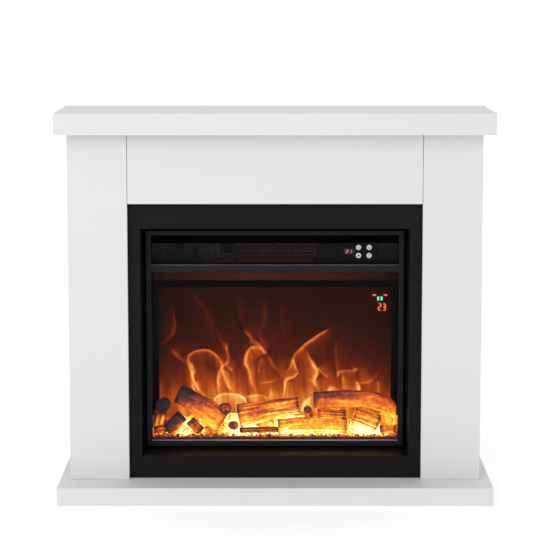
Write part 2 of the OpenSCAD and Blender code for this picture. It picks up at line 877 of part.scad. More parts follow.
// Each log runs between two points and has one radius. The points are counted from the window's
// left edge, from the bed's front edge and up from the bed, and what lies below the bed is cut off.
log_h = 150;
log_flats = 12;
module logs(list) {
    intersection() {
        translate([-win_x, bed_y0, bed_z]) for (l = list) limb(l[0], l[1], l[2]);
        block([-case_in_x, bed_y0, bed_z], [case_in_x, mask_y, bed_z + log_h]);
    }
}

module left_logs() {
    color("sienna") logs([
        [[17, 37, -10], [26, 16, 74], 14],
        [[58, 29, 94], [166, 25, 24], 22],
        [[34, 20, -14], [62, 24, 52], 13],
        [[86, 22, 76], [116, 16, -10], 12],
        [[152, 30, 44], [176, 15, 66], 13]]);
}

module center_logs() {
    color("sienna") logs([
        [[201, 26, 52], [342, 27, 76], 22],
        [[262, 34, -10], [268, 36, 60], 13],
        [[206, 13, 8], [322, 14, 10], 11]]);
}

module right_logs() {
    color("sienna") logs([
        [[384, 27, 90], [510, 26, 92], 20],
        [[488, 26, 96], [568, 25, 66], 19],
        [[557, 27, 80], [559, 26, -10], 18],
        [[386, 25, 58], [452, 24, 52], 17],
        [[468, 24, 62], [528, 25, 32], 18],
        [[350, 18, 16], [452, 19, 18], 16],
        [[434, 36, -10], [436, 37, 80], 13],
        [[474, 14, 8], [536, 15, 9], 12]]);
}

reflector_n = 12;
reflector_w = 30;
reflector_t = 0.6;
reflector_gap = 3;
reflector_end = 14;
rod_grip = 5;
rod_play = 0.5;
reflector_step = 50;
// Rod with bright reflector blades, each turned a step from the last.
module flame_spindle() {
    span = spindle_x + flame_motor_x - reflector_end;
    pitch = span / reflector_n;
    color("silver") {
        bar_x(-spindle_x, flame_motor_x + rod_grip, spindle_y, spindle_z, rod_r);
        for (i = [0 : reflector_n - 1])
            translate([in_row(i, reflector_n, pitch) + (flame_motor_x - spindle_x) / 2, spindle_y, spindle_z])
                rotate([i * reflector_step, 0, 0])
                    cube([pitch - reflector_gap, reflector_w, reflector_t], center = true);
    }
}

// Slow synchronous motor whose hub takes the spindle's end.
flame_motor_r = 21;
flame_hub_r = 8;
flame_hub_l = 6;
module flame_motor() {
    color("silver") difference() {
        union() {
            bar_x(flame_motor_x + flame_hub_l, case_in_x, spindle_y, spindle_z, flame_motor_r);
            bar_x(flame_motor_x, flame_motor_x + flame_hub_l + 1, spindle_y, spindle_z, flame_hub_r);
        }
        bar_x(flame_motor_x - 1, flame_motor_x + rod_grip + rod_play, spindle_y, spindle_z,
              rod_r + running);
    }
}

strip_end = 45;
strip_w = 12;
led = [3.5, 3.5, 1.2];
led_n = 20;
// Two light boards on the case's floor: one under the fuel bed, one under the spindle.
module led_strips() {
    l = 2 * (case_in_x - strip_end);
    for (y = [(bed_y0 + mask_y) / 2, spindle_y]) translate([0, y, floor_z]) {
        color("white") block([-l / 2, -strip_w / 2, 0], [l / 2, strip_w / 2, circuit_t]);
        color("gold") for (i = [0 : led_n - 1])
            translate([in_row(i, led_n, l / led_n) - led.x / 2, -led.y / 2, circuit_t - sink]) cube(led);
    }
}

hearth_board();
hearth_ribs();
mantel_shelf();
mantel_soffit();
left_pilaster();
right_pilaster();
left_side_panel();
right_side_panel();
header_panel();
inner_top_board();
inner_side_boards();
inner_bottom_board();
top_return();
side_returns();
support_shelf();
shelf_bearers();
rear_rails();
corner_blocks();
wood_screws();
wall_brackets();
mounting_flange();
front_frame();
glass_pane();
glass_clips();
bay_liner();
outlet_grille();
control_fascia();
button_power();
button_heat();
button_flame();
button_timer();
digit_display();
control_board();
case_bottom();
case_sides();
case_top();
rear_cover();
case_feet();
case_screws();
cable_gland();
heater_deck();
blower_housing();
element_frame();
heating_wires();
blower_wheel();
blower_shaft();
blower_motor();
thermal_cutout();
power_board();
shaft_bushes();
flame_screen();
screen_mask();
status_display();
ember_bed();
left_logs();
center_logs();
right_logs();
flame_spindle();
flame_motor();
led_strips();
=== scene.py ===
import math

import bmesh
import bpy
import numpy as np
from mathutils import Matrix, Vector, noise


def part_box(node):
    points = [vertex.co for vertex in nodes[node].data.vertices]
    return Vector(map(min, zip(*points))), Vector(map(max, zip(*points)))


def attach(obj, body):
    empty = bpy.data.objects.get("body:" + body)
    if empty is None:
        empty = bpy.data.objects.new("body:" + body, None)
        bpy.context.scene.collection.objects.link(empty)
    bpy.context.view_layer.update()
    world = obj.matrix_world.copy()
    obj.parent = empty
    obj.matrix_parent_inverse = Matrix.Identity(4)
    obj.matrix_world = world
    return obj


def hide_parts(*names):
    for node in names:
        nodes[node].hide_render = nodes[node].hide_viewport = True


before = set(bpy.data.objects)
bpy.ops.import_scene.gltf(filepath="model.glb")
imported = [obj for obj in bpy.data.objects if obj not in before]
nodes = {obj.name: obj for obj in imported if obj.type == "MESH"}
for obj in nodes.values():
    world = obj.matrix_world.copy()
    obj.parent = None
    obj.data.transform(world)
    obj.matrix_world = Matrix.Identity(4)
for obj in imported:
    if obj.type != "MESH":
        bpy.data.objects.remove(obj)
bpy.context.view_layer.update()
scene = bpy.context.scene
MM = 0.001

# ---- Camera ----
# The suite from the front, at a standing person's eye height and a few steps back, on a long lens
# that keeps its uprights nearly upright.
camera = bpy.data.objects.new("camera", bpy.data.cameras.new("camera"))
scene.collection.objects.link(camera)
scene.camera = camera
camera.location = (0, -4.539, 1.203)
camera.rotation_euler = (math.radians(90 - 7.05), 0, 0)
camera.data.lens = 128.7
camera.data.shift_y = -0.10


# ---- Foil-wrapped white boards ----
# The surround is medium-density board in one white satin foil. The shelf and the hearth are each one
# board, grooved on the back, folded and glued; legs and header butt against them and are screwed.
def add_node(tree, kind, inputs=None, **settings):
    """Adds a node. Settings are its own properties; inputs are constants or sockets to link from."""
    made = tree.nodes.new(kind)
    for name, value in settings.items():
        setattr(made, name, value)
    for name, value in (inputs or {}).items():
        if isinstance(value, bpy.types.NodeSocket):
            tree.links.new(value, made.inputs[name])
        else:
            made.inputs[name].default_value = value
    return made


def sole(tree, kind):
    """The first node of a kind in a tree."""
    return next(n for n in tree.nodes if n.type == kind)


def shade(name, colour, rough, metal=0.0, mottle=0.03, mottle_size=60 * MM, grain=0.5 * MM,
          grain_depth=0.02 * MM, rough_spread=0.05, stretch=(1, 1, 1), **fixed):
    """A material with a slow change of colour, a change of roughness and a fine relief."""
    made = bpy.data.materials.new(name)
    made.use_nodes = True
    tree = made.node_tree
    shader = tree.nodes["Principled BSDF"]
    place = add_node(tree, "ShaderNodeTexCoord")
    scaled = add_node(tree, "ShaderNodeMapping", {"Vector": place.outputs["Object"], "Scale": stretch})

    def cloud(size, detail):
        return add_node(tree, "ShaderNodeTexNoise", {"Vector": scaled.outputs["Vector"],
                                                     "Scale": 1 / size, "Detail": detail}).outputs["Fac"]

    tint = add_node(tree, "ShaderNodeMix", {
        "A": (*[c * (1 - mottle) for c in colour], 1),
        "B": (*[min(1, c * (1 + mottle)) for c in colour], 1),
        "Factor": cloud(mottle_size, 3)}, data_type="RGBA")
    spread = add_node(tree, "ShaderNodeMapRange", {
        "To Min": max(0.02, rough - rough_spread), "To Max": min(1, rough + rough_spread),
        "Value": cloud(mottle_size / 6, 2)})
    relief = add_node(tree, "ShaderNodeBump", {"Distance": grain_depth, "Strength": 0.6,
                                               "Height": cloud(grain, 2)})
    tree.links.new(tint.outputs["Result"], shader.inputs["Base Color"])
    tree.links.new(spread.outputs["Result"], shader.inputs["Roughness"])
    tree.links.new(relief.outputs["Normal"], shader.inputs["Normal"])
    shader.inputs["Metallic"].default_value = metal
    for socket, value in fixed.items():
        shader.inputs[socket.replace("_", " ")].default_value = value
    return made


def paint(piece, made):
    """Gives a piece one material."""
    piece.data.materials.clear()
    piece.data.materials.append(made)


def eased(node, radius, made, segments=2):
    """A board or moulding of the node's own shape, with its hard edges eased by a radius."""
    shape = node_shape(node)
    bmesh.ops.dissolve_limit(shape, angle_limit=math.radians(2), verts=shape.verts, edges=shape.edges)
    hard = [e for e in shape.edges if len(e.link_faces) == 2 and e.calc_face_angle() > math.radians(30)]
    bmesh.ops.bevel(shape, geom=hard, offset=radius, segments=segments, profile=0.6, affect="EDGES",
                    clamp_overlap=True)
    bmesh.ops.recalc_face_normals(shape, faces=shape.faces)
    return add_piece("eased_" + node, shape, made, replaced=[node])


def node_shape(node):
    """A CAD node's mesh as a bmesh, with its corners joined."""
    shape = bmesh.new()
    shape.from_mesh(nodes[node].data)
    bmesh.ops.remove_doubles(shape, verts=shape.verts, dist=0.002 * MM)
    return shape


def hang(piece, made, body, replaced):
    """Paints an object and hangs it on its body, in place of the CAD nodes it stands for."""
    paint(piece, made)
    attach(piece, body)
    if replaced:
        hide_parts(*replaced)
    return piece


def add_object(name, data):
    """Links a new object that holds the data."""
    piece = bpy.data.objects.new(name, data)
    scene.collection.objects.link(piece)
    return piece


def add_mesh(name, shape):
    """Turns a bmesh into a mesh and frees it."""
    mesh = bpy.data.meshes.new(name)
    shape.to_mesh(mesh)
    shape.free()
    return mesh


def add_piece(name, shape, made, body="root", replaced=()):
    """Turns a bmesh into a finished object."""
    return hang(add_object(name, add_mesh(name, shape)), made, body, replaced)


white_foil = shade("white_foil", (0.66, 0.66, 0.66), 0.45, mottle=0.006, mottle_size=150 * MM,
                   grain=0.7 * MM, grain_depth=0.012 * MM, rough_spread=0.03, Specular_IOR_Level=0.22)
for board in ("hearth_board", "mantel_shelf", "mantel_soffit", "left_pilaster", "right_pilaster",
              "left_side_panel", "right_side_panel", "header_panel"):
    eased(board, 0.7 * MM, white_foil)


# ---- Black recess boards ----
# The same board in a black foil with a faint grain lines the recess: four boards that lap behind the
# surround, their returns, and the shelf that is the recess floor. They are dowelled and screwed.
black_foil = shade("black_foil", (0.0060, 0.0060, 0.0062), 0.5, mottle=0.12, mottle_size=40 * MM,
                   grain=0.9 * MM, grain_depth=0.04 * MM, stretch=(0.25, 1, 1), Specular_IOR_Level=0.1)
for board in ("inner_top_board", "inner_side_boards", "inner_bottom_board", "top_return",
              "side_returns", "support_shelf"):
    eased(board, 0.6 * MM, black_foil)


# ---- Raw rails, ribs and bearers ----
# Unseen strips of raw particle board, sawn to size, which stiffen the hearth, tie the side panels
# and carry the shelf. Their chips show as small pale and dark flakes.
def chipboard():
    """Raw board whose mottling is broken into flakes."""
    made = shade("chipboard", (0.50, 0.37, 0.24), 0.85, mottle=0.25, mottle_size=25 * MM,
                 grain=1.5 * MM, grain_depth=0.15 * MM, Specular_IOR_Level=0.25)
    tree = made.node_tree
    base = tree.nodes["Principled BSDF"].inputs["Base Color"]
    chips = add_node(tree, "ShaderNodeTexVoronoi", {"Scale": 1 / (3 * MM),
                                                    "Vector": sole(tree, "MAPPING").outputs["Vector"]})
    tone = add_node(tree, "ShaderNodeMapRange", {"To Min": 0.6, "To Max": 1.3,
                                                 "Value": chips.outputs["Color"]})
    flakes = add_node(tree, "ShaderNodeHueSaturation", {"Value": tone.outputs["Result"],
                                                        "Color": base.links[0].from_socket})
    tree.links.new(flakes.outputs["Color"], base)
    return made


raw_board = chipboard()
for board in ("hearth_ribs", "shelf_bearers", "rear_rails"):
    eased(board, 0.3 * MM, raw_board, segments=1)


# ---- Assembly blocks and wall straps ----
# Ivory nylon blocks in the corners of the legs, moulded with square shoulders, and two zinc-plated
# steel straps stamped from sheet and screwed to the back of the top rail.
ivory_nylon = shade("ivory_nylon", (0.72, 0.69, 0.58), 0.45, mottle=0.04, grain=0.6 * MM)
zinc = shade("zinc_plate", (0.62, 0.62, 0.60), 0.34, metal=1.0, mottle=0.08, mottle_size=6 * MM,
             grain=0.5 * MM, grain_depth=0.02 * MM)
paint(nodes["corner_blocks"], ivory_nylon)
paint(nodes["wall_brackets"], zinc)


# ---- Screws ----
# Chipboard screws with a flat, cross-slotted head in the blocks and the straps, and pan-head screws
# round the fire's rear cover. All are zinc-plated steel.
def fresh_tree(name, **inputs):
    """A Geometry Nodes tree with named inputs: the tree, its given sockets, the socket of its
    result, and the identifier of each input."""
    tree = bpy.data.node_groups.new(name, "GeometryNodeTree")
    tree.interface.new_socket("Geometry", in_out="INPUT", socket_type="NodeSocketGeometry")
    tree.interface.new_socket("Geometry", in_out="OUTPUT", socket_type="NodeSocketGeometry")
    kinds = {int: "NodeSocketInt", float: "NodeSocketFloat", tuple: "NodeSocketVector"}
    keys = {}
    for title, value in inputs.items():
        socket = tree.interface.new_socket(title.replace("_", " "), in_out="INPUT",
                                           socket_type=kinds[type(value)])
        socket.default_value = value
        keys[title] = socket.identifier
    given = tree.nodes.new("NodeGroupInput").outputs
    sink = tree.nodes.new("NodeGroupOutput").inputs["Geometry"]
    return tree, given, sink, keys


def finish_tree(tree, given, sink, instance, made, **inputs):
    """Stands an instance on every point, and ends in Realize Instances and Set Material."""
    stand = add_node(tree, "GeometryNodeInstanceOnPoints", {"Points": given["Geometry"],
                                                            "Instance": instance, **inputs})
    real = add_node(tree, "GeometryNodeRealizeInstances", {"Geometry": stand.outputs["Instances"]})
    coat = add_node(tree, "GeometryNodeSetMaterial", {"Geometry": real.outputs["Geometry"],
                                                      "Material": made})
    tree.links.new(coat.outputs["Geometry"], sink)


def grown(name, base, tree, keys, values, made, body="root", replaced=()):
    """Runs a tree over a base mesh, keeps the result as a plain mesh and hangs it on a body."""
    piece = add_object(name, base)
    modifier = piece.modifiers.new(name, "NODES")
    modifier.node_group = tree
    for title, value in values.items():
        modifier[keys[title]] = value
    graph = bpy.context.evaluated_depsgraph_get()
    mesh = bpy.data.meshes.new_from_object(piece.evaluated_get(graph))
    mesh.name = name
    piece.modifiers.remove(modifier)
    piece.data = mesh
    return hang(piece, made, body, replaced)


def middle_of(lo, hi):
    """The middle of a box."""
    return tuple((a + b) / 2 for a, b in zip(lo, hi))


def points_mesh(name, points):
    """A mesh of loose points."""
    mesh = bpy.data.meshes.new(name)
    mesh.from_pydata([tuple(p) for p in points], [], [])
    return mesh


def band(shape, a, b):
    """Joins two rings of corners by a band of faces. A ring may be a single point."""
    count = max(len(a), len(b))
    for i in range(count):
        j = (i + 1) % count
        corners = dict.fromkeys([a[i % len(a)], a[j % len(a)], b[j % len(b)], b[i % len(b)]])
        if len(corners) > 2:
            shape.faces.new(list(corners))


def lathe(profile, point, axis, segments):
    """A closed bmesh turned about an axis: profile is (distance from the point, radius)."""
    point, axis = Vector(point), Vector(axis)
    side = axis.orthogonal().normalized()
    shape = bmesh.new()
    rings = []
    for along, radius in profile:
        middle = point + axis * along
        if radius < 1e-7:
            rings.append([shape.verts.new(middle)])
            continue
        turn = [Matrix.Rotation(2 * math.pi * i / segments, 3, axis) @ side for i in range(segments)]
        rings.append([shape.verts.new(middle + t * radius) for t in turn])
    for a, b in zip(rings, rings[1:]):
        band(shape, a, b)
    bmesh.ops.recalc_face_normals(shape, faces=shape.faces)
    return shape


def cross_slot(shape, height, size, depth):
    """Lays a cross into the flat top of a screw head, as two thin troughs that cut into it."""
    axis = Vector((0, 0, 1))
    side = axis.orthogonal().normalized()
    for turn in (0, math.pi / 2):
        along = Matrix.Rotation(turn, 3, axis) @ side
        across = axis.cross(along)
        top = [axis * (height + 0.02 * MM) + along * size * a + across * size * 0.22 * b
               for a, b in ((-1, -1), (1, -1), (1, 1), (-1, 1))]
        upper = [shape.verts.new(p) for p in top]
        lower = [shape.verts.new(p - axis * depth) for p in top]
        shape.faces.new(upper)
        shape.faces.new(lower[::-1])
        for i, j in ((0, 1), (1, 2), (2, 3), (3, 0)):
            shape.faces.new([upper[i], lower[i], lower[j], upper[j]])


def screw_heads(name, places, axis, profile, made, slot_size, replaced=()):
    """One screw shape set at every place by a tree, the cross of each turned by its own amount."""
    head = lathe(profile, (0, 0, 0), (0, 0, 1), 20)
    cross_slot(head, profile[-1][0], slot_size, 0.25 * MM)
    pattern = bpy.data.objects.new(name + "_pattern", add_mesh(name + "_pattern", head))
    tree, given, sink, keys = fresh_tree(name, Axis=(0.0, 0.0, 1.0), Seed=3)
    info = add_node(tree, "GeometryNodeObjectInfo", {"Object": pattern})
    aim = add_node(tree, "FunctionNodeAlignRotationToVector", {"Vector": given["Axis"]}, axis="Z")
    spin = add_node(tree, "FunctionNodeRandomValue", {"Max": 3.1, "Seed": given["Seed"]},
                    data_type="FLOAT")
    angle = add_node(tree, "FunctionNodeAxisAngleToRotation", {"Angle": spin.outputs["Value"]})
    turned = add_node(tree, "FunctionNodeRotateRotation", {
        "Rotation": aim.outputs["Rotation"], "Rotate By": angle.outputs["Rotation"]},
        rotation_space="LOCAL")
    finish_tree(tree, given, sink, info.outputs["Geometry"], made, Rotation=turned.outputs["Rotation"])
    piece = grown(name, points_mesh(name, places), tree, keys, {"Axis": axis, "Seed": 3}, made,
                  replaced=replaced)
    bpy.data.objects.remove(pattern)
    return piece


def loose_parts(node):
    """The box of each separate solid in a node, as pairs of lowest and highest corners."""
    shape = node_shape(node)
    left, boxes = set(shape.verts), []
    while left:
        group, edge = set(), [left.pop()]
        while edge:
            vert = edge.pop()
            group.add(vert)
            near = [e.other_vert(vert) for e in vert.link_edges]
            edge += [v for v in near if v in left]
            left -= set(near)
        spots = np.array([v.co for v in group])
        boxes.append((spots.min(0), spots.max(0)))
    shape.free()
    return boxes


pan_h, pan_r = 2 * MM, 3.2 * MM
pan_profile = [(0, 0), (0, pan_r), (0.5 * pan_h, pan_r), (0.85 * pan_h, 0.8 * pan_r),
               (0.98 * pan_h, 0.45 * pan_r), (0.98 * pan_h, 0)]
cover_spots = [(middle_of(lo, hi)[0], lo[1], middle_of(lo, hi)[2]) for lo, hi in loose_parts("case_screws")]
screw_heads("cover_screws", cover_spots, (0.0, 1.0, 0.0), pan_profile, zinc, 0.5 * pan_r,
            replaced=["case_screws"])
paint(nodes["wood_screws"], zinc)


# ---- Fire: mounting flange and front frame ----
# The frame is a rolled steel section in dark textured powder paint, mitred at its corners, with one
# bar between the outlet and the window. A flat flange behind it closes the gap to the recess. The
# up-facing faces of two ledges get a lighter material: a painted highlight of the light from above.
frame_paint = shade("frame_paint", (0.0078, 0.0080, 0.0125), 0.42, mottle=0.10,
                    mottle_size=30 * MM, grain=0.35 * MM, grain_depth=0.05 * MM, rough_spread=0.07,
                    Specular_IOR_Level=0.16)
# A lighter, half-metal paint: the painted highlight on the frame's up-facing ledges
lip_painted_highlight = shade("lip_painted_highlight", (0.34, 0.32, 0.38), 0.35, metal=0.3, mottle=0.10, mottle_size=30 * MM,
                   grain=0.5 * MM)
black_paint = shade("black_paint", (0.002, 0.002, 0.0023), 0.6, mottle=0.10, grain=0.4 * MM,
                    grain_depth=0.03 * MM, Specular_IOR_Level=0.04)
bent_frame = eased("front_frame", 1.3 * MM, frame_paint, segments=3)
bent_frame.data.materials.append(lip_painted_highlight)
# Heights of the two ledges whose up-facing faces get the painted highlight: over the bar's front and over the
# bottom rail's
lip_heights = (533.8 * MM, 114.5 * MM)
lip_reach = 2.2 * MM
for face in bent_frame.data.polygons:
    if face.normal.z > 0.25 and any(abs(face.center.z - lip) < lip_reach for lip in lip_heights):
        face.material_index = 1
for sheet in ("mounting_flange", "bay_liner", "screen_mask", "glass_clips"):
    paint(nodes[sheet], black_paint)


# ---- Fire: outlet grille ----
# A louvred steel sheet in black paint: rows of narrow blades pressed out of it, tied by upright
# strips, with a plain opening for the controls. A near-black strip along its top edge is painted
# shade, the dark top of the outlet.
grille_lo, grille_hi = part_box("outlet_grille")
fascia_lo, fascia_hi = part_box("control_fascia")
blade_pitch = 2.5 * MM
strip_pitch = 3.4 * MM
blade_h = 1.7 * MM
strip_w = 1.2 * MM


def grille_bars():
    """The middle and the size of every blade and strip, cut round the controls' opening."""
    (x0, _, z0), (x1, _, z1) = grille_lo, grille_hi
    y = (grille_lo[1] + grille_hi[1]) / 2
    bars = []
    rows = int((z1 - z0) / blade_pitch)
    for j in range(rows):
        z = z0 + (j + 0.5) * (z1 - z0) / rows
        cut = fascia_lo[2] - 0.5 * MM < z < fascia_hi[2] + 0.5 * MM
        spans = [(x0, fascia_lo[0]), (fascia_hi[0], x1)] if cut else [(x0, x1)]
        bars += [(((a + b) / 2, y, z), (b - a, 1.0 * MM, blade_h)) for a, b in spans]
    columns = int((x1 - x0) / strip_pitch)
    for i in range(columns + 1):
        x = x0 + strip_w / 2 + i * (x1 - x0 - strip_w) / columns
        cut = fascia_lo[0] - 0.5 * MM < x < fascia_hi[0] + 0.5 * MM
        spans = [(z0, fascia_lo[2]), (fascia_hi[2], z1)] if cut else [(z0, z1)]
        bars += [((x, y + 0.1 * MM, (a + b) / 2), (strip_w, 0.6 * MM, b - a)) for a, b in spans]
    return bars


def bars_piece(name, bars, made, body="root", replaced=()):
    """A box stood at every point by a tree, as large as the point's own size attribute says."""
    base = points_mesh(name, [middle for middle, _ in bars])
    sizes = base.attributes.new("bar_size", "FLOAT_VECTOR", "POINT")
    sizes.data.foreach_set("vector", [s for _, size in bars for s in size])
    tree, given, sink, keys = fresh_tree(name, Thickness=1.0)
    size = add_node(tree, "GeometryNodeInputNamedAttribute", {"Name": "bar_size"},
                    data_type="FLOAT_VECTOR")
    fuller = add_node(tree, "ShaderNodeVectorMath", {
        0: size.outputs["Attribute"], "Scale": given["Thickness"]}, operation="SCALE")
    cube = add_node(tree, "GeometryNodeMeshCube")
    finish_tree(tree, given, sink, cube.outputs["Mesh"], made, Scale=fuller.outputs["Vector"])
    return grown(name, base, tree, keys, {"Thickness": 1.0}, made, body, replaced)


mesh_paint = shade("mesh_paint", (0.0045, 0.0045, 0.0060), 0.5, mottle=0.10, grain=0.35 * MM,
                   Specular_IOR_Level=0.10)
bars_piece("outlet_louvres", grille_bars(), mesh_paint, replaced=["outlet_grille"])
# Painted shade: a near-black matt strip in front of the grille's top edge darkens the top of the outlet
painted_shade_black = shade("painted_shade_black", (0.0012, 0.0012, 0.0012), 0.8, mottle=0.10, grain=0.35 * MM,
                   Specular_IOR_Level=0.02)
shade_band_h = 22 * MM
shade_band_z = grille_hi[2] - shade_band_h
shade_band_spans = [(grille_lo[0], fascia_lo[0], shade_band_z), (fascia_hi[0], grille_hi[0], shade_band_z),
              (fascia_lo[0], fascia_hi[0], max(shade_band_z, fascia_hi[2] + 0.3 * MM))]
bars_piece("outlet_hood", [(((a + b) / 2, grille_lo[1] - 0.8 * MM, (low + grille_hi[2]) / 2),
                            (b - a, 0.8 * MM, grille_hi[2] - low)) for a, b, low in shade_band_spans],
           painted_shade_black)


# ---- Fire: glass and its surroundings ----
# One pane of clear toughened glass with a coating against reflections, clipped behind the flange.
# Above it hangs the front lip of the heater deck; the copper light of the fire on it is a painted reflection,
# a glow in its paint.
clear_glass = shade("clear_glass", (0.98, 0.98, 0.98), 0.02, mottle=0.0, grain=150 * MM,
                    grain_depth=0.01 * MM, rough_spread=0.0, Transmission_Weight=1.0, IOR=1.08,
                    Specular_IOR_Level=0.5)
paint(nodes["glass_pane"], clear_glass)


def lit(made, ramp, driver, strength):
    """Makes a material glow: a colour ramp over a driving socket feeds its emission."""
    tree = made.node_tree
    glow = add_node(tree, "ShaderNodeValToRGB", {"Fac": driver})
    stops = glow.color_ramp.elements
    while len(stops) < len(ramp):
        stops.new(0.5)
    for stop, (place, colour) in zip(stops, ramp):
        stop.position = place
        stop.color = (*colour, 1)
    shader = tree.nodes["Principled BSDF"]
    tree.links.new(glow.outputs["Color"], shader.inputs["Emission Color"])
    shader.inputs["Emission Strength"].default_value = strength
    return made


def deck_painted_reflection():
    """Copper-brown paint with a painted reflection of the fire: a glow along the middle of the deck that
    fades at its ends.
    """
    made = shade("copper_paint", (0.009, 0.003, 0.002), 0.5, mottle=0.1, grain=0.4 * MM,
                 Specular_IOR_Level=0.04)
    tree = made.node_tree
    split = add_node(tree, "ShaderNodeSeparateXYZ", {"Vector": sole(tree, "TEX_COORD").outputs["Object"]})
    aside = add_node(tree, "ShaderNodeMath", {0: split.outputs["X"]}, operation="ABSOLUTE")
    fade = add_node(tree, "ShaderNodeMapRange", {"From Min": 0.30, "From Max": 0.08,
                                                 "Value": aside.outputs["Value"]})
    return lit(made, [(0, (0.004, 0.001, 0.0005)), (1, (0.048, 0.0065, 0.0020))],
               fade.outputs["Result"], 1.0)


paint(nodes["heater_deck"], deck_painted_reflection())


# ---- Fire: flame picture ----
# Light from the turning reflectors draws flames on a frosted amber sheet. That light is painted: a fine
# film on the sheet's face glows with the picture, and each tongue is one soft curved streak, sharp
# outside and faint inside.
screen_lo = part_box("flame_screen")[0]
mask_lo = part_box("screen_mask")[0]
bed_lo, bed_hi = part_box("ember_bed")
window_side = 277 * MM
picture_top = 470 * MM
picture_step = 1.6 * MM
film_t = 0.6 * MM
# Each tongue: its brightness, its width in millimetres and the points it bends through, which are
# counted in millimetres from the middle and from the floor
tongues = [
    (0.62, 9, [(-170, 210), (-186, 228), (-196, 251), (-205, 275), (-209, 292), (-203, 308),
               (-182, 317), (-160, 317), (-142, 304), (-127, 286)]),
    (0.46, 8, [(-204, 288), (-195, 270), (-197, 240), (-193, 217)]),
    (0.50, 10, [(-115, 335), (-115, 317), (-111, 294), (-129, 270), (-136, 243), (-139, 216)]),
    (0.52, 11, [(-128, 290), (-124, 262), (-115, 239), (-105, 221)]),
    (0.34, 8, [(-119, 286), (-111, 275), (-103, 266)]),
    (0.50, 15, [(-72, 364), (-56, 345), (-38, 330), (-27, 314), (-21, 313)]),
    (0.56, 12, [(-30, 322), (-52, 324), (-68, 308), (-71, 286), (-62, 262), (-57, 239), (-45, 217)]),
    (0.30, 7, [(-33, 302), (-37, 278), (-38, 262)]),
    (0.24, 5, [(-19, 306), (-6, 280), (14, 262)]),
    (0.26, 5, [(-33, 239), (-9, 241), (7, 245)]),
    (0.42, 5, [(-11, 222), (-12, 206), (-11, 198)]),
    (0.60, 8, [(20, 200), (22, 223), (26, 243), (46, 253), (56, 263), (48, 278), (45, 292), (42, 300)]),
    (0.52, 9, [(26, 262), (38, 282), (48, 306), (65, 325), (93, 345), (116, 362), (130, 371)]),
    (0.70, 11, [(74, 316), (85, 294), (97, 274), (101, 259), (93, 239), (103, 222)]),
    (0.44, 9, [(101, 275), (113, 262), (126, 252)]),
    (0.46, 8, [(149, 252), (153, 264), (175, 266), (191, 267), (197, 272)]),
    (0.16, 6, [(150, 258), (147, 290), (144, 310), (149, 342)]),
    (0.66, 8, [(196, 241), (201, 227), (198, 212)]),
    (0.26, 7, [(202, 235), (230, 243), (246, 263)]),
    (0.30, 5, [(246, 240), (249, 226), (250, 214)]),
    (0.28, 6, [(163, 254), (163, 239), (163, 222)]),
    (0.44, 16, [(126, 214), (136, 226), (150, 216)]),
    (0.27, 10, [(-249, 317), (-233, 302), (-213, 286)]),
    (0.20, 8, [(-276, 330), (-254, 346), (-241, 372), (-243, 418)]),
    (0.20, 6, [(-139, 364), (-126, 338), (-114, 318)]),
    (0.15, 7, [(-23, 436), (-27, 388), (-37, 357), (-25, 326)]),
    (0.09, 9, [(-206, 462), (-165, 412), (-142, 340)]),
    (0.08, 8, [(-92, 452), (-80, 400), (-62, 352)]),
    (0.08, 7, [(18, 448), (14, 392), (28, 330)]),
    (0.80, 7, [(-147, 176), (-143, 200), (-119, 212), (-92, 209), (-73, 199), (-66, 184)]),
    (0.44, 7, [(-72, 203), (-41, 208), (-16, 201)]),
    (0.90, 15, [(66, 168), (74, 190), (84, 200)]),
    (0.70, 16, [(-186, 160), (-172, 182), (-160, 190)]),
]


def smooth_path(points, count):
    """Points along one smooth curve that passes through all of the given ones."""
    knots = [2 * points[0] - points[1], *points, 2 * points[-1] - points[-2]]
    out = []
    for i in range(1, len(knots) - 2):
        a, b, c, d = knots[i - 1:i + 3]
        for k in range(count):
            t = k / count
            out.append(0.5 * (2 * b + (c - a) * t + (2 * a - 5 * b + 4 * c - d) * t * t
                              + (3 * b - a - 3 * c + d) * t ** 3))
    return np.array(out + [knots[-2]])


def ripple(x, z, size, seed):
    """A smooth repeatable unevenness between about -1 and 1 over a plane, for whole arrays."""
    total = np.zeros_like(x)
    for k in range(1, 5):
        turn = 2.399 * (k + seed)
        u = (x * math.cos(turn) + z * math.sin(turn)) / size * (0.7 + 0.35 * k)
        v = (z * math.cos(turn) - x * math.sin(turn)) / size * (0.5 + 0.3 * k)
        total += np.sin(u * 2 * math.pi + 1.7 * seed + np.sin(v * 2 * math.pi + k)) / 2
    return total / 2


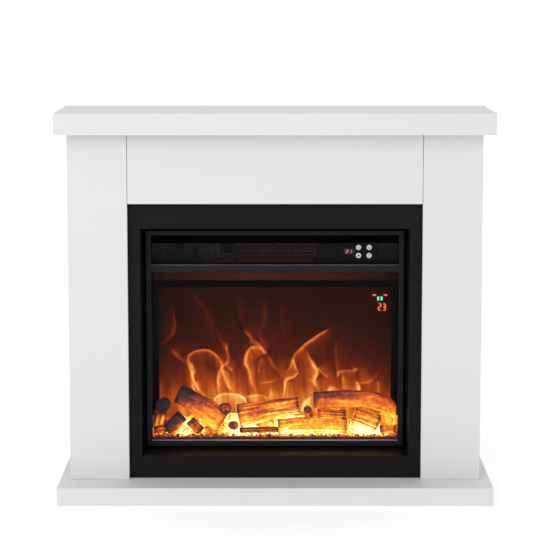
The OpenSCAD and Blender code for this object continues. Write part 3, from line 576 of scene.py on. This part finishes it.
def flame_heat(x, z):
    """Brightness of the picture at places in millimetres."""
    bend_x = x + 2.5 * ripple(x, z, 90, 1) + 1.4 * ripple(x, z, 34, 4)
    bend_z = z + 2.5 * ripple(x, z, 110, 2)
    # Haze over the bed, upright streaks in it, and the bright foot of the flames
    up = np.clip(z - 200, 0, None)
    heat = 0.050 + 0.26 * np.exp(-(up / 70) ** 1.3) + 0.12 * np.exp(-up / 110)
    streaks = ripple(x + 0.25 * z, z * 0.28, 60, 6) + 0.9 * ripple(x, z * 0.16, 23, 8)
    heat += 0.11 * streaks * np.exp(-up / 85)
    heat += (0.08 + 0.22 * np.clip(ripple(x, z * 0.3, 75, 12), 0, 1)) * np.exp(-up / 30)
    heat *= 1 - 0.4 * (np.abs(x) / 277) ** 4
    # Every tongue is laid on from spots along its path: its outer side is crisp, its inner side fades
    for bright, width, points in tongues:
        path = smooth_path([np.array(p, float) for p in points], 14)
        ahead = np.gradient(path, axis=0)
        pace = np.linalg.norm(ahead, axis=1, keepdims=True)
        ahead = ahead / pace
        span = len(path)
        near = (bend_x > path[:, 0].min() - 60) & (bend_x < path[:, 0].max() + 60)
        near &= (bend_z > path[:, 1].min() - 60) & (bend_z < path[:, 1].max() + 60)
        px, pz = bend_x[near], bend_z[near]
        best = np.zeros_like(px)
        wisps = 1 + 0.5 * ripple(px + 0.2 * pz, pz * 0.22, 17, 3)
        middle = path.mean(0)
        for k in range(span):
            t = k / (span - 1)
            taper = 0.45 + 0.55 * math.sin(math.pi * (0.12 + 0.76 * t))
            level = bright * (0.82 + 0.22 * math.cos(6.5 * t + bright * 40)) * min(1, 0.3 + 5 * min(t, 1 - t))
            du = (px - path[k, 0]) * ahead[k, 0] + (pz - path[k, 1]) * ahead[k, 1]
            dv = -(px - path[k, 0]) * ahead[k, 1] + (pz - path[k, 1]) * ahead[k, 0]
            towards = -(middle[0] - path[k, 0]) * ahead[k, 1] + (middle[1] - path[k, 1]) * ahead[k, 0]
            dv = dv * (1 if towards >= 0 else -1)
            soft = width * taper
            edge = 0.30 if bright > 0.28 else 0.50
            across = np.where(dv < 0, np.exp(-(dv / (edge * soft)) ** 2),
                              0.50 * np.exp(-(dv / (max(0.42, edge) * soft)) ** 2)
                              + 0.50 * wisps * np.exp(-np.clip(dv, 0, None) / (1.7 * soft)))
            reach = max(2.6, float(pace[k, 0]) * 1.2)
            best = np.maximum(best, level * across * np.exp(-(du / reach) ** 2))
        heat[near] += best * (1 - 0.45 * heat[near])
    return np.clip(heat, 0, 1)


def closed_sheet(shape, grid, push):
    """Faces over a grid of corners, walls round its rim whose far corners push places, and a back."""
    for a, b in zip(grid, grid[1:]):
        for i in range(len(a) - 1):
            shape.faces.new([a[i], a[i + 1], b[i + 1], b[i]])
    rim = [e for e in shape.edges if len(e.link_faces) == 1]
    walls = bmesh.ops.extrude_edge_only(shape, edges=rim)["geom"]
    for vert in walls:
        if isinstance(vert, bmesh.types.BMVert):
            push(vert)
    back = [e for e in walls if isinstance(e, bmesh.types.BMEdge) and len(e.link_faces) == 1]
    bmesh.ops.holes_fill(shape, edges=back)
    bmesh.ops.recalc_face_normals(shape, faces=shape.faces)
    return shape


def flame_film():
    """A closed thin film whose front is a fine grid that carries the painted flame light as an attribute."""
    low_z = bed_hi[2]
    columns = round(2 * window_side / picture_step)
    rows = round((picture_top - low_z) / picture_step)
    xs = np.linspace(-window_side + 0.3 * MM, window_side - 0.3 * MM, columns + 1)
    zs = np.linspace(low_z + 0.3 * MM, picture_top - 0.3 * MM, rows + 1)
    grid_x, grid_z = np.meshgrid(xs, zs)
    front = screen_lo[1] - 0.8 * MM
    shape = bmesh.new()
    glow = shape.verts.layers.float.new("glow_level")
    level = flame_heat(grid_x / MM, grid_z / MM)
    grid = [[shape.verts.new((grid_x[j, i], front, grid_z[j, i])) for i in range(columns + 1)]
            for j in range(rows + 1)]
    for j in range(rows + 1):
        for i in range(columns + 1):
            grid[j][i][glow] = level[j, i]

    def push(vert):
        vert.co.y += film_t

    return closed_sheet(shape, grid, push)


amber_sheet = shade("amber_sheet", (0.05, 0.016, 0.006), 0.5, mottle=0.05, grain=0.5 * MM,
                    Specular_IOR_Level=0.1)
flame_light = shade("flame_light", (0.008, 0.003, 0.002), 0.6, mottle=0.05, grain=0.5 * MM,
                    Specular_IOR_Level=0.03)
# The flame light is painted: its emission follows the glow_level attribute
glow_read = add_node(flame_light.node_tree, "ShaderNodeAttribute", attribute_name="glow_level")
lit(flame_light, [(0.0, (0.006, 0.0010, 0.0006)), (0.07, (0.015, 0.0024, 0.0012)),
                  (0.20, (0.11, 0.012, 0.003)), (0.38, (0.40, 0.055, 0.006)),
                  (0.58, (0.78, 0.20, 0.025)), (0.78, (1.0, 0.45, 0.09)), (1.0, (1.1, 0.80, 0.30))],
    glow_read.outputs["Fac"], 1.0)
paint(nodes["flame_screen"], amber_sheet)
add_piece("flame_picture", flame_film(), flame_light)


# ---- Fire: ember bed ----
# A moulded tray of translucent resin, lit from below by a strip of lights; the light through the resin
# is painted as a glow. Its top is a heap of glowing embers, darkest along the front edge, and loose
# resin chips are glued over it.
def warm(name, colour, ramp, strength, size, spread):
    """Resin with painted light: it glows as its glow_level attribute says, broken up by a fine unevenness."""
    made = shade(name, colour, 0.72, mottle=0.35, mottle_size=size * 3, grain=size * 0.5,
                 grain_depth=0.5 * MM, Specular_IOR_Level=0.12)
    tree = made.node_tree
    read = add_node(tree, "ShaderNodeAttribute", attribute_name="glow_level")
    fine = add_node(tree, "ShaderNodeTexNoise", {"Vector": sole(tree, "MAPPING").outputs["Vector"],
                                                 "Scale": 1 / size, "Detail": 5, "Roughness": 0.62})
    shift = add_node(tree, "ShaderNodeMapRange", {"From Min": 0.3, "From Max": 0.7, "To Min": -spread,
                                                  "To Max": spread, "Value": fine.outputs["Fac"]})
    total = add_node(tree, "ShaderNodeMath", {0: read.outputs["Fac"], 1: shift.outputs["Result"]},
                     operation="ADD", use_clamp=True)
    return lit(made, ramp, total.outputs["Value"], strength)


glow_ramp = [(0.0, (0.006, 0.004, 0.007)), (0.16, (0.034, 0.009, 0.010)), (0.34, (0.22, 0.026, 0.006)),
             (0.52, (0.72, 0.105, 0.006)), (0.70, (1.0, 0.30, 0.010)), (0.84, (1.1, 0.64, 0.030)),
             (0.93, (1.2, 0.92, 0.12)), (1.0, (1.3, 1.25, 0.55))]
ember_resin = warm("ember_resin", (0.05, 0.025, 0.028), glow_ramp, 1.1, 5 * MM, 0.24)
log_resin = warm("log_resin", (0.036, 0.025, 0.029), glow_ramp, 1.0, 9 * MM, 0.15)

# Places along the bed where the light below is strongest: middle, half width, gain
hot_spots = [(-218, 24, 0.6), (-176, 16, 0.3), (-92, 28, 0.8), (-52, 20, 0.4), (40, 60, 0.7),
             (128, 18, 0.5), (212, 36, 0.8), (256, 18, 0.5)]


def bed_heat(x, y_back):
    """Painted glow of the bed at a place in millimetres: x from the middle, y_back from its front edge."""
    heat = 0.50 + 0.12 * math.sin(x / 17) * math.sin(x / 41 + 1)
    for middle, half, gain in hot_spots:
        heat += gain * math.exp(-((x - middle) / half) ** 2)
    front = min(1, max(0, (y_back - 1) / 5))
    return (heat * front + 0.06 * (1 - front)) * (1 - 0.22 * min(1, max(0, (y_back - 30) / 20)))


bed_y0, bed_y1 = bed_lo[1], mask_lo[1]
bed_side = -bed_lo[0] - 0.3 * MM


def heap_rise(x, back):
    """Height of the heap over the bed in millimetres, for a share of the way back to the screen."""
    return -2 + (42 + 9 * math.sin(x / 47 + 1.3) * math.sin(x / 113)) * back ** 0.9


def ember_mound():
    """The tray as one closed shape: straight sides and a lumpy top that rises towards the screen."""
    shape = bmesh.new()
    glow = shape.verts.layers.float.new("glow_level")
    columns, rows = 300, 26
    grid = []
    for j in range(rows + 1):
        back = j / rows
        line = []
        for i in range(columns + 1):
            x = -bed_side + 2 * bed_side * i / columns
            y = bed_y0 + (bed_y1 - bed_y0 - 0.4 * MM) * back
            spot = Vector((x / (11 * MM), y / (9 * MM), 2.0))
            lump = noise.noise(spot) + 0.5 * noise.noise(spot * 2.3)
            rise = heap_rise(x / MM, back) + 3.4 * lump * min(1, 5 * back)
            vert = shape.verts.new((x, y, bed_hi[2] + max(-3.6, rise) * MM))
            vert[glow] = bed_heat(x / MM, (y - bed_y0) / MM) + 0.12 * lump
            line.append(vert)
        grid.append(line)

    def push(vert):
        vert.co.z = bed_lo[2]
        vert[glow] = 0.05

    return closed_sheet(shape, grid, push)


add_piece("ember_mound", ember_mound(), ember_resin, replaced=["ember_bed"])


def ember_chips():
    """Loose resin chips scattered over the heap by a tree, each with the heat of its place."""
    rng = np.random.default_rng(11)
    spots, heats, sizes = [], [], []
    chip_side = bed_side - 6 * MM
    for _ in range(1500):
        x = rng.uniform(-chip_side, chip_side)
        back = rng.uniform(0.05, 0.86)
        y = bed_y0 + (bed_y1 - bed_y0) * back
        size = rng.uniform(1.6, 4.6) * MM
        spots.append((x, y, bed_hi[2] + heap_rise(x / MM, back) * MM + 0.2 * size))
        sizes.append(size)
        heats.append(bed_heat(x / MM, (y - bed_y0) / MM) + rng.uniform(-0.30, 0.25))
    # Charred chips along the front edge, a few of them alight
    for _ in range(420):
        size = rng.uniform(2.0, 4.8) * MM
        spots.append((rng.uniform(-chip_side, chip_side), bed_y0 + rng.uniform(4.8, 11) * MM,
                      bed_hi[2] + rng.uniform(-1.5, 4.5) * MM))
        sizes.append(size)
        heats.append(rng.choice([-0.1, 0.02, 0.15, 0.4, 0.65], p=[0.25, 0.2, 0.15, 0.2, 0.2]))
    base = points_mesh("ember_chips", spots)
    for title, values in (("glow_level", heats), ("chip_size", sizes)):
        base.attributes.new(title, "FLOAT", "POINT").data.foreach_set("value", values)
    tree, given, sink, keys = fresh_tree("ember_chips", Seed=5, Flatness=0.6)
    stone = add_node(tree, "GeometryNodeMeshIcoSphere", {"Radius": 1.0, "Subdivisions": 1})
    turn = add_node(tree, "FunctionNodeRandomValue", {"Max": (6.2, 6.2, 6.2),
                                                      "Seed": given["Seed"]},
                    data_type="FLOAT_VECTOR")
    flat = given["Flatness"]
    lowest = add_node(tree, "ShaderNodeCombineXYZ", {"X": flat, "Y": flat, "Z": flat})
    form = add_node(tree, "FunctionNodeRandomValue", {
        "Min": lowest.outputs["Vector"], "Max": (1.3, 1.1, 1.0), "Seed": given["Seed"]},
        data_type="FLOAT_VECTOR")
    read = add_node(tree, "GeometryNodeInputNamedAttribute", {"Name": "chip_size"})
    grow = add_node(tree, "ShaderNodeVectorMath", {
        0: form.outputs["Value"], "Scale": read.outputs["Attribute"]}, operation="SCALE")
    finish_tree(tree, given, sink, stone.outputs["Mesh"], ember_resin,
                Rotation=turn.outputs["Value"], Scale=grow.outputs["Vector"])
    grown("ember_chips", base, tree, keys, {"Seed": 5, "Flatness": 0.6}, ember_resin)


ember_chips()


# ---- Fire: logs ----
# Resin logs cast from real ones and painted: charred bark above, embers glowing through cracks and
# undersides. The glow is painted light, brighter on the undersides. Split logs show their grain, sawn
# ends show rings. They are glued to the bed.
window_left = -289.9 * MM


def log_piece(shape, glow, points, radius, seed, heat, heat_end=None, split=0.0, flare=0.0,
              stripe=0.12, around=44):
    """Adds one log to a bmesh: an uneven tube through the points, closed at both ends. The points
    are counted in millimetres from the window's left edge, the bed's front edge and the bed."""
    heat_end = heat if heat_end is None else heat_end
    start = np.array([window_left, bed_y0, bed_hi[2] + 8 * MM])
    line = smooth_path([start + np.array(p, float) * MM for p in points], 60 // (len(points) - 1))
    length = np.linalg.norm(np.diff(line, axis=0), axis=1).sum()
    up = Vector((0, 0.25, 1)).normalized()
    rings = []
    for k, spot in enumerate(line):
        share = k / (len(line) - 1)
        ahead = Vector(line[min(k + 1, len(line) - 1)] - line[max(k - 1, 0)]).normalized()
        side = ahead.cross(up).normalized()
        top = side.cross(ahead).normalized()
        along = share * length / MM
        ends = min(1, (min(share, 1 - share) * length / MM + 1.5) / 4)
        swell = radius * (0.94 + 0.05 * ends) * (1 + flare * (share - 0.5))
        ring = []
        for i in range(around):
            turn = 2 * math.pi * i / around
            c, s = math.cos(turn), math.sin(turn)
            broad = noise.noise(Vector((c * 1.1 + seed, s * 1.1, along / 34)))
            bark = noise.noise(Vector((c * 4.5, s * 4.5 + seed * 3, along / 26)))
            fine = noise.noise(Vector((c * 9, s * 9 + seed, along / 8)))
            r = swell * (1 + 0.10 * broad + 0.075 * bark + 0.03 * fine)
            if split:
                r = min(r, swell * split / max(0.15, math.cos(turn - 1.2)))
            place = Vector(spot) + (side * c + top * s) * r * MM
            place.y = min(max(place.y, bed_y0 + 0.5 * MM), bed_y1 - 0.5 * MM)
            vert = shape.verts.new(place)
            # Painted light: the undersides get a brighter glow
            under = 0.5 - 0.5 * s
            grain_line = noise.noise(Vector((c * 6 + seed, s * 6, along / 70)))
            grain_line += 0.7 * noise.noise(Vector((c * 14, s * 14 + seed, along / 45)))
            char = max(0, 1 - min(share, 1 - share) * length / MM / 9)
            vert[glow] = (heat + (heat_end - heat) * share + 0.42 * (under - 0.5)
                          + stripe * 2.2 * grain_line + 0.12 * broad - 0.35 * char)
            ring.append(vert)
        rings.append(ring)
    for a, b in zip(rings, rings[1:]):
        band(shape, a, b)
    for ring, sign in ((rings[0], -1), (rings[-1], 1)):
        middle = sum((v.co for v in ring), Vector()) / around
        axis = Vector(line[-1] - line[-2] if sign > 0 else line[0] - line[1]).normalized()
        last = ring
        for step, scale in enumerate((0.82, 0.64, 0.44, 0.24)):
            inner = []
            end_heat = (heat if sign < 0 else heat_end) - 0.18
            for vert in ring:
                place = middle.lerp(vert.co, scale) + axis * (0.5 if step % 2 else -0.4) * MM
                new = shape.verts.new(place)
                new[glow] = (end_heat + (0.16 if step % 2 else 0.02)
                             + 0.25 * noise.noise(place / (5 * MM)))
                inner.append(new)
            band(shape, last, inner)
            last = inner
        shape.faces.new(last)


def log_group(name, replaced, logs):
    """One casting of several logs, in place of a CAD node."""
    shape = bmesh.new()
    glow = shape.verts.layers.float.new("glow_level")
    for settings in logs:
        log_piece(shape, glow, **settings)
    bmesh.ops.recalc_face_normals(shape, faces=shape.faces)
    piece = add_piece(name, shape, log_resin, replaced=[replaced])
    piece.data.polygons.foreach_set("use_smooth", [True] * len(piece.data.polygons))
    return piece


log_group("left_log_castings", "left_logs", [
    dict(points=[(25, 46, 62), (24, 30, 63), (22, 15, 63)], radius=16, seed=1, heat=0.08, heat_end=-0.2),
    dict(points=[(58, 30, 90), (88, 30, 76), (124, 27, 52), (166, 24, 25)], radius=24.5, seed=2,
         heat=0.06, heat_end=0.78, flare=0.25, stripe=0.08),
    dict(points=[(66, 26, 84), (78, 22, 90), (90, 20, 86)], radius=11, seed=3, heat=-0.05),
    dict(points=[(32, 19, 6), (48, 19, 20), (68, 21, 40)], radius=16, seed=4, heat=0.10, heat_end=0.22,
         split=0.8),
    dict(points=[(88, 17, 28), (101, 15, 14), (113, 13, 2)], radius=12, seed=5, heat=0.42),
    dict(points=[(160, 40, 46), (168, 24, 54), (173, 12, 58)], radius=14, seed=6, heat=0.42),
    dict(points=[(186, 30, 12), (190, 18, 16), (193, 9, 18)], radius=10.5, seed=7, heat=0.45),
    dict(points=[(8, 32, 2), (11, 32, 24), (16, 30, 46)], radius=15, seed=17, heat=0.30, stripe=0.2),
    dict(points=[(4, 14, 6), (20, 12, 10), (34, 12, 8)], radius=8, seed=19, heat=0.34, stripe=0.2),
])
log_group("center_log_castings", "center_logs", [
    dict(points=[(203, 27, 38), (250, 27, 48), (300, 27, 57), (347, 27, 64)], radius=24.5, seed=8,
         heat=0.65, heat_end=0.60, split=0.78, flare=-0.35, stripe=0.24),
    dict(points=[(252, 36, 2), (262, 36, 20), (268, 36, 40)], radius=14, seed=9, heat=0.6),
    dict(points=[(206, 12, 5), (258, 13, 6), (300, 14, 6)], radius=7, seed=10, heat=0.34, stripe=0.2),
])
log_group("right_log_castings", "right_logs", [
    dict(points=[(382, 27, 76), (430, 27, 79), (480, 27, 79), (532, 27, 73), (560, 27, 56), (563, 27, 14)],
         radius=20, seed=11, heat=0.46, heat_end=0.58, stripe=0.07, flare=0.15),
    dict(points=[(392, 22, 41), (425, 22, 40), (458, 21, 38)], radius=15, seed=12, heat=0.66, split=0.8,
         heat_end=0.48, stripe=0.22),
    dict(points=[(478, 21, 44), (504, 21, 36), (536, 22, 22)], radius=21.5, seed=13, heat=0.72, split=0.75,
         stripe=0.20),
    dict(points=[(298, 17, 12), (345, 16, 16), (400, 16, 17), (460, 17, 14)], radius=19, seed=14,
         heat=0.78, stripe=0.10),
    dict(points=[(372, 40, 30), (369, 28, 50), (366, 16, 55)], radius=9, seed=15, heat=0.30),
    dict(points=[(434, 38, 4), (436, 38, 30), (437, 37, 60)], radius=12, seed=18, heat=0.6),
    dict(points=[(540, 13, 6), (560, 13, 10), (576, 14, 8)], radius=10, seed=16, heat=0.62, stripe=0.2),
])


# ---- Fire: status lights ----
# Small lamps behind the amber sheet shine through it at its upper right: two bars, a pair of short
# strokes and a two-digit number for the room's temperature.
status_x, _, status_z = middle_of(*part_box("status_display"))


def lamp(name, colour, strength):
    """A lamp's tinted cover, glowing evenly."""
    made = shade(name, tuple(0.2 * c for c in colour), 0.4, mottle=0.05, grain=0.5 * MM)
    shader = made.node_tree.nodes["Principled BSDF"]
    shader.inputs["Emission Color"].default_value = (*colour, 1)
    shader.inputs["Emission Strength"].default_value = strength
    return made


pink_lamp = lamp("pink_lamp", (1.0, 0.12, 0.13), 1.1)
green_lamp = lamp("green_lamp", (0.18, 1.0, 0.42), 1.1)
orange_lamp = lamp("orange_lamp", (1.0, 0.13, 0.03), 1.6)
red_lamp = lamp("red_lamp", (1.0, 0.10, 0.12), 1.5)

# A digit's seven strokes: top, upper right, lower right, bottom, lower left, upper left, middle
digit_strokes = {"1": "0110000", "2": "1101101", "3": "1111001"}


def digit_bars(digit, x, y, z, width, height, stroke, depth):
    """The lit strokes of one digit as bars, drawn about its middle."""
    w, h = width / 2, height / 2
    across, upright = (width - stroke, depth, stroke), (stroke, depth, h - stroke * 0.6)
    strokes = [((0, h), across), ((w, h / 2), upright), ((w, -h / 2), upright), ((0, -h), across),
               ((-w, -h / 2), upright), ((-w, h / 2), upright), ((0, 0), across)]
    return [((x + px, y, z + pz), size)
            for on, ((px, pz), size) in zip(digit_strokes[digit], strokes) if on == "1"]


lamp_y = screen_lo[1] - 1.1 * MM
lamp_t = 0.4 * MM
status_digits = [bar for digit, aside in (("2", -0.5), ("3", 10))
                 for bar in digit_bars(digit, status_x + aside * MM, lamp_y, status_z - 12 * MM,
                                       6.5 * MM, 15 * MM, 2.3 * MM, lamp_t)]
bars_piece("status_digits", status_digits, orange_lamp)
for name, aside, up, width, height, made in (("status_bars", 13, 17, 8, 3.4, pink_lamp),
                                             ("status_strokes", 4, 8.5, 4.6, 9, green_lamp)):
    bars_piece(name, [((status_x + side * aside * MM, lamp_y, status_z + up * MM),
                       (width * MM, lamp_t, height * MM)) for side in (-1, 1)], made)
paint(nodes["status_display"], shade("smoked_lens", (0.01, 0.01, 0.01), 0.2, mottle=0.1))


# ---- Controls ----
# A gloss black moulding with a red two-digit window and four sprung caps. The caps are plated
# plastic, slightly dished, each printed with a plain sign: power, heat, flame and timer.
fascia_gloss = shade("fascia_gloss", (0.003, 0.003, 0.004), 0.24, mottle=0.1, grain=1.0 * MM,
                     grain_depth=0.004 * MM, rough_spread=0.03, Specular_IOR_Level=0.08)
silver_cap = shade("silver_cap", (0.56, 0.57, 0.60), 0.3, metal=0.85, mottle=0.05, mottle_size=4 * MM,
                   grain=0.25 * MM, grain_depth=0.01 * MM)
print_ink = shade("print_ink", (0.03, 0.03, 0.035), 0.6, mottle=0.1, grain=0.3 * MM)
red_lens = shade("red_lens", (0.03, 0.002, 0.002), 0.12, mottle=0.1, grain=2 * MM,
                 grain_depth=0.002 * MM, rough_spread=0.02, Specular_IOR_Level=0.3)
eased("control_fascia", 0.8 * MM, fascia_gloss)
paint(nodes["digit_display"], red_lens)
lens_lo, lens_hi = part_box("digit_display")
lens_x, _, lens_z = middle_of(lens_lo, lens_hi)
window_digits = [bar for digit, aside in (("2", -4.6), ("1", 3.4))
                 for bar in digit_bars(digit, lens_x + aside * MM, lens_lo[1] - 0.1 * MM, lens_z,
                                       4.2 * MM, 7.4 * MM, 1.1 * MM, 0.3 * MM)]
bars_piece("window_digits", window_digits, red_lamp)


def arc_bars(radius, begin, finish, count, stroke):
    """Short bars that stand for an arc of print, in the cap's own plane."""
    turns = [math.radians(begin + (finish - begin) * i / (count - 1)) for i in range(count)]
    return [((radius * math.cos(t), radius * math.sin(t)), (stroke, stroke)) for t in turns]


signs = {
    "power": arc_bars(2.6, 130, 410, 22, 0.7) + [((0, 1.9), (0.7, 3.0))],
    "heat": [((x + 0.45 * math.sin(k * 1.1), -2.4 + 0.5 * k), (0.7, 0.7))
             for x in (-2, 0, 2) for k in range(10)],
    "flame": [((0.9 * math.sin(k / 2.2), -2.6 + 0.55 * k),
               (3.6 * math.sin((k + 1) / 12 * math.pi) + 0.3, 0.6)) for k in range(10)],
    "timer": arc_bars(2.7, 0, 345, 26, 0.6) + [((0, 1.0), (0.6, 2.0)), ((0.8, 0), (1.8, 0.6))],
}
for sign, marks in signs.items():
    cap_lo, cap_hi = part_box("button_" + sign)
    x, _, z = middle_of(cap_lo, cap_hi)
    face, back = cap_lo[1], cap_hi[1]
    cap_r, collar_r, stem_r = 6.3 * MM, (cap_hi[0] - cap_lo[0]) / 2, 2 * MM
    collar_y = fascia_lo[1] + 2.3 * MM
    profile = [(face + 0.35 * MM, 0), (face + 0.25 * MM, 0.5 * cap_r), (face, 0.86 * cap_r),
               (face + 0.08 * MM, 0.94 * cap_r), (face + 0.5 * MM, cap_r), (collar_y, cap_r),
               (collar_y, collar_r), (collar_y + 1.2 * MM, collar_r), (collar_y + 1.2 * MM, stem_r),
               (back, stem_r), (back, 0)]
    add_piece(sign + "_cap", lathe(profile, (x, 0, z), (0, 1, 0), 40), silver_cap,
              body=sign + "_button", replaced=["button_" + sign])
    prints = [((x + mx * MM, face + 0.2 * MM, z + mz * MM), (w * MM, 0.36 * MM, h * MM))
              for (mx, mz), (w, h) in marks]
    bars_piece(sign + "_sign", prints, print_ink, body=sign + "_button")


# ---- Fan heater ----
# A sheet-steel duct with a drum of thin blades in it, turned by a small shaded-pole motor. A mica
# frame across the throat carries heating ribbon, and a thermostat disc sits on the duct's roof.
case_steel = shade("galvanised", (0.50, 0.51, 0.52), 0.42, metal=0.9, mottle=0.10, mottle_size=22 * MM,
                   grain=1.2 * MM, grain_depth=0.02 * MM, rough_spread=0.08)
mica = shade("mica_sheet", (0.34, 0.27, 0.16), 0.6, mottle=0.2, mottle_size=8 * MM, grain=1.0 * MM)
fan_metal = shade("fan_metal", (0.60, 0.61, 0.62), 0.4, metal=0.9, mottle=0.06, mottle_size=8 * MM)
turned_steel = shade("turned_steel", (0.52, 0.53, 0.55), 0.28, metal=1.0, mottle=0.05,
                     stretch=(0.05, 1, 1), grain=0.4 * MM)
motor_iron = shade("motor_iron", (0.14, 0.12, 0.09), 0.5, metal=0.6, mottle=0.2, mottle_size=3 * MM,
                   stretch=(6, 0.2, 0.2), grain=0.6 * MM, grain_depth=0.08 * MM)
ceramic = shade("ceramic", (0.70, 0.68, 0.62), 0.25, mottle=0.03)
for node in ("case_bottom", "case_sides", "case_top", "rear_cover"):
    paint(nodes[node], case_steel)
duct_paint = shade("duct_paint", (0.012, 0.012, 0.013), 0.6, mottle=0.15, grain=0.6 * MM,
                   Specular_IOR_Level=0.2)
paint(nodes["blower_housing"], duct_paint)
cover_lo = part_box("rear_cover")[0]
drum_z = middle_of(*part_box("blower_wheel"))[2]
gland_x, _, gland_z = middle_of(*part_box("cable_gland"))
gland_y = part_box("cable_gland")[0][1]
gauze = shade("gauze", (0.01, 0.01, 0.01), 0.9, mottle=0.2, grain=0.8 * MM, grain_depth=0.2 * MM,
              Specular_IOR_Level=0.1)
# Black gauze lies inside the cover over its inlet slots, and a patch of it over the gland's bore
gauze_w, gauze_t, gauze_h, patch = 264 * MM, 0.8 * MM, 46 * MM, 20 * MM
bars_piece("inlet_gauze", [((0, cover_lo[1] - 0.5 * MM, drum_z), (gauze_w, gauze_t, gauze_h)),
                           ((gland_x, gland_y - gauze_t / 2, gland_z), (patch, gauze_t, patch))],
           gauze)
for node, made in {"element_frame": mica, "blower_wheel": fan_metal, "blower_shaft": turned_steel,
                   "blower_motor": motor_iron, "flame_motor": motor_iron,
                   "thermal_cutout": ceramic}.items():
    paint(nodes[node], made)

hot_ribbon = shade("hot_ribbon", (0.10, 0.05, 0.04), 0.5, metal=0.4, mottle=0.2, mottle_size=3 * MM,
                   Emission_Color=(1.0, 0.16, 0.05, 1), Emission_Strength=0.22)


def ribbon_coils():
    """Each heating wire as a coil wound by a tree along its own straight line."""
    wires = loose_parts("heating_wires")
    sizes = {"Turns": 64.0, "Radius": 1.4 * MM, "Length": float(wires[0][1][0] - wires[0][0][0]),
             "Wire": 0.3 * MM}
    tree, given, sink, keys = fresh_tree("ribbon", **sizes)
    coil = add_node(tree, "GeometryNodeCurveSpiral", {
        "Resolution": 8, "Rotations": given["Turns"], "Start Radius": given["Radius"],
        "End Radius": given["Radius"], "Height": given["Length"]})
    wire = add_node(tree, "GeometryNodeCurvePrimitiveCircle", {"Resolution": 4,
                                                               "Radius": given["Wire"]})
    tube = add_node(tree, "GeometryNodeCurveToMesh", {
        "Fill Caps": True, "Curve": coil.outputs["Curve"], "Profile Curve": wire.outputs["Curve"]})
    lay = add_node(tree, "GeometryNodeTransform", {"Rotation": (0, math.pi / 2, 0),
                                                   "Geometry": tube.outputs["Mesh"]})
    finish_tree(tree, given, sink, lay.outputs["Geometry"], hot_ribbon)
    spots = [(lo[0], middle_of(lo, hi)[1] - 1.0 * MM, middle_of(lo, hi)[2]) for lo, hi in wires]
    grown("heating_coils", points_mesh("heating_coils", spots), tree, keys, sizes, hot_ribbon,
          replaced=["heating_wires"])


ribbon_coils()


# ---- Flame drive and lights ----
# Bright foil blades on a steel rod, turned slowly by a geared motor, throw the light of a strip of
# lamps up the screen. A second strip lights the ember bed. Both are white circuit boards.
bright_foil = shade("bright_foil", (0.80, 0.80, 0.80), 0.12, metal=1.0, mottle=0.04,
                    mottle_size=12 * MM, grain=3 * MM, grain_depth=0.1 * MM)
strip_board = lamp("strip_board", (1.0, 0.55, 0.18), 0.6)
paint(nodes["flame_spindle"], bright_foil)
paint(nodes["led_strips"], strip_board)


# ---- Circuit boards ----
# Green glass-fibre boards with their parts on: the switch board behind the controls and the mains
# board with relays, capacitor and terminal block in the heater's compartment.
def circuit_board():
    """Green board crossed by lighter tracks."""
    made = shade("circuit_board", (0.015, 0.12, 0.045), 0.35, mottle=0.1, mottle_size=10 * MM)
    tree = made.node_tree
    base = tree.nodes["Principled BSDF"].inputs["Base Color"]
    tracks = add_node(tree, "ShaderNodeTexVoronoi", {
        "Scale": 1 / (6 * MM), "Vector": sole(tree, "MAPPING").outputs["Vector"]},
        distance="CHEBYCHEV", feature="DISTANCE_TO_EDGE")
    line = add_node(tree, "ShaderNodeMapRange", {"From Max": 0.08, "Value": tracks.outputs["Distance"]})
    copper = add_node(tree, "ShaderNodeMix", {
        "A": (0.05, 0.22, 0.07, 1), "B": base.links[0].from_socket, "Factor": line.outputs["Result"]},
        data_type="RGBA")
    tree.links.new(copper.outputs["Result"], base)
    return made


green_board = circuit_board()
for node in ("control_board", "power_board"):
    paint(nodes[node], green_board)


# ---- Feet and cable gland ----
# Black rubber feet under the case, and a nylon gland in the rear cover for the mains cord. The
# shafts' bushes are the same nylon.
black_rubber = shade("black_rubber", (0.02, 0.02, 0.02), 0.8, mottle=0.1, Specular_IOR_Level=0.3)
black_nylon = shade("black_nylon", (0.018, 0.018, 0.019), 0.5, mottle=0.08, grain=0.6 * MM)
eased("case_feet", 0.8 * MM, black_rubber)
for node in ("cable_gland", "shaft_bushes"):
    paint(nodes[node], black_nylon)


# ---- Floor and light ----
# A pale studio floor that runs out of sight, a large soft lamp in front and to the left, and an even
# pale surround that fills the shadows.
floor_shape = bmesh.new()
bmesh.ops.create_grid(floor_shape, x_segments=1, y_segments=1, size=40)
studio_floor = add_object("studio_floor", add_mesh("studio_floor", floor_shape))
paint(studio_floor, shade("studio_floor", (0.85, 0.85, 0.85), 0.8, mottle=0.01, mottle_size=0.8,
                          grain=5 * MM, Emission_Color=(1, 1, 1, 1), Emission_Strength=0.28))

key = add_object("key_lamp", bpy.data.lights.new("key_lamp", "AREA"))
key.data.size = 2.2
key.data.energy = 60
key.location = (-2.2, -4.0, 2.6)
key.rotation_euler = (Vector((0, 0, 0.4)) - key.location).to_track_quat("-Z", "Y").to_euler()

world = bpy.data.worlds.new("studio")
scene.world = world
world.use_nodes = True
sky = world.node_tree
backdrop = sky.nodes["Background"]
seen = add_node(sky, "ShaderNodeLightPath")
level = add_node(sky, "ShaderNodeMapRange", {"To Min": 0.9, "To Max": 1.0,
                                             "Value": seen.outputs["Is Camera Ray"]})
sky.links.new(level.outputs["Result"], backdrop.inputs["Strength"])
backdrop.inputs["Color"].default_value = (1, 1, 1, 1)
scene.view_settings.view_transform = "Standard"
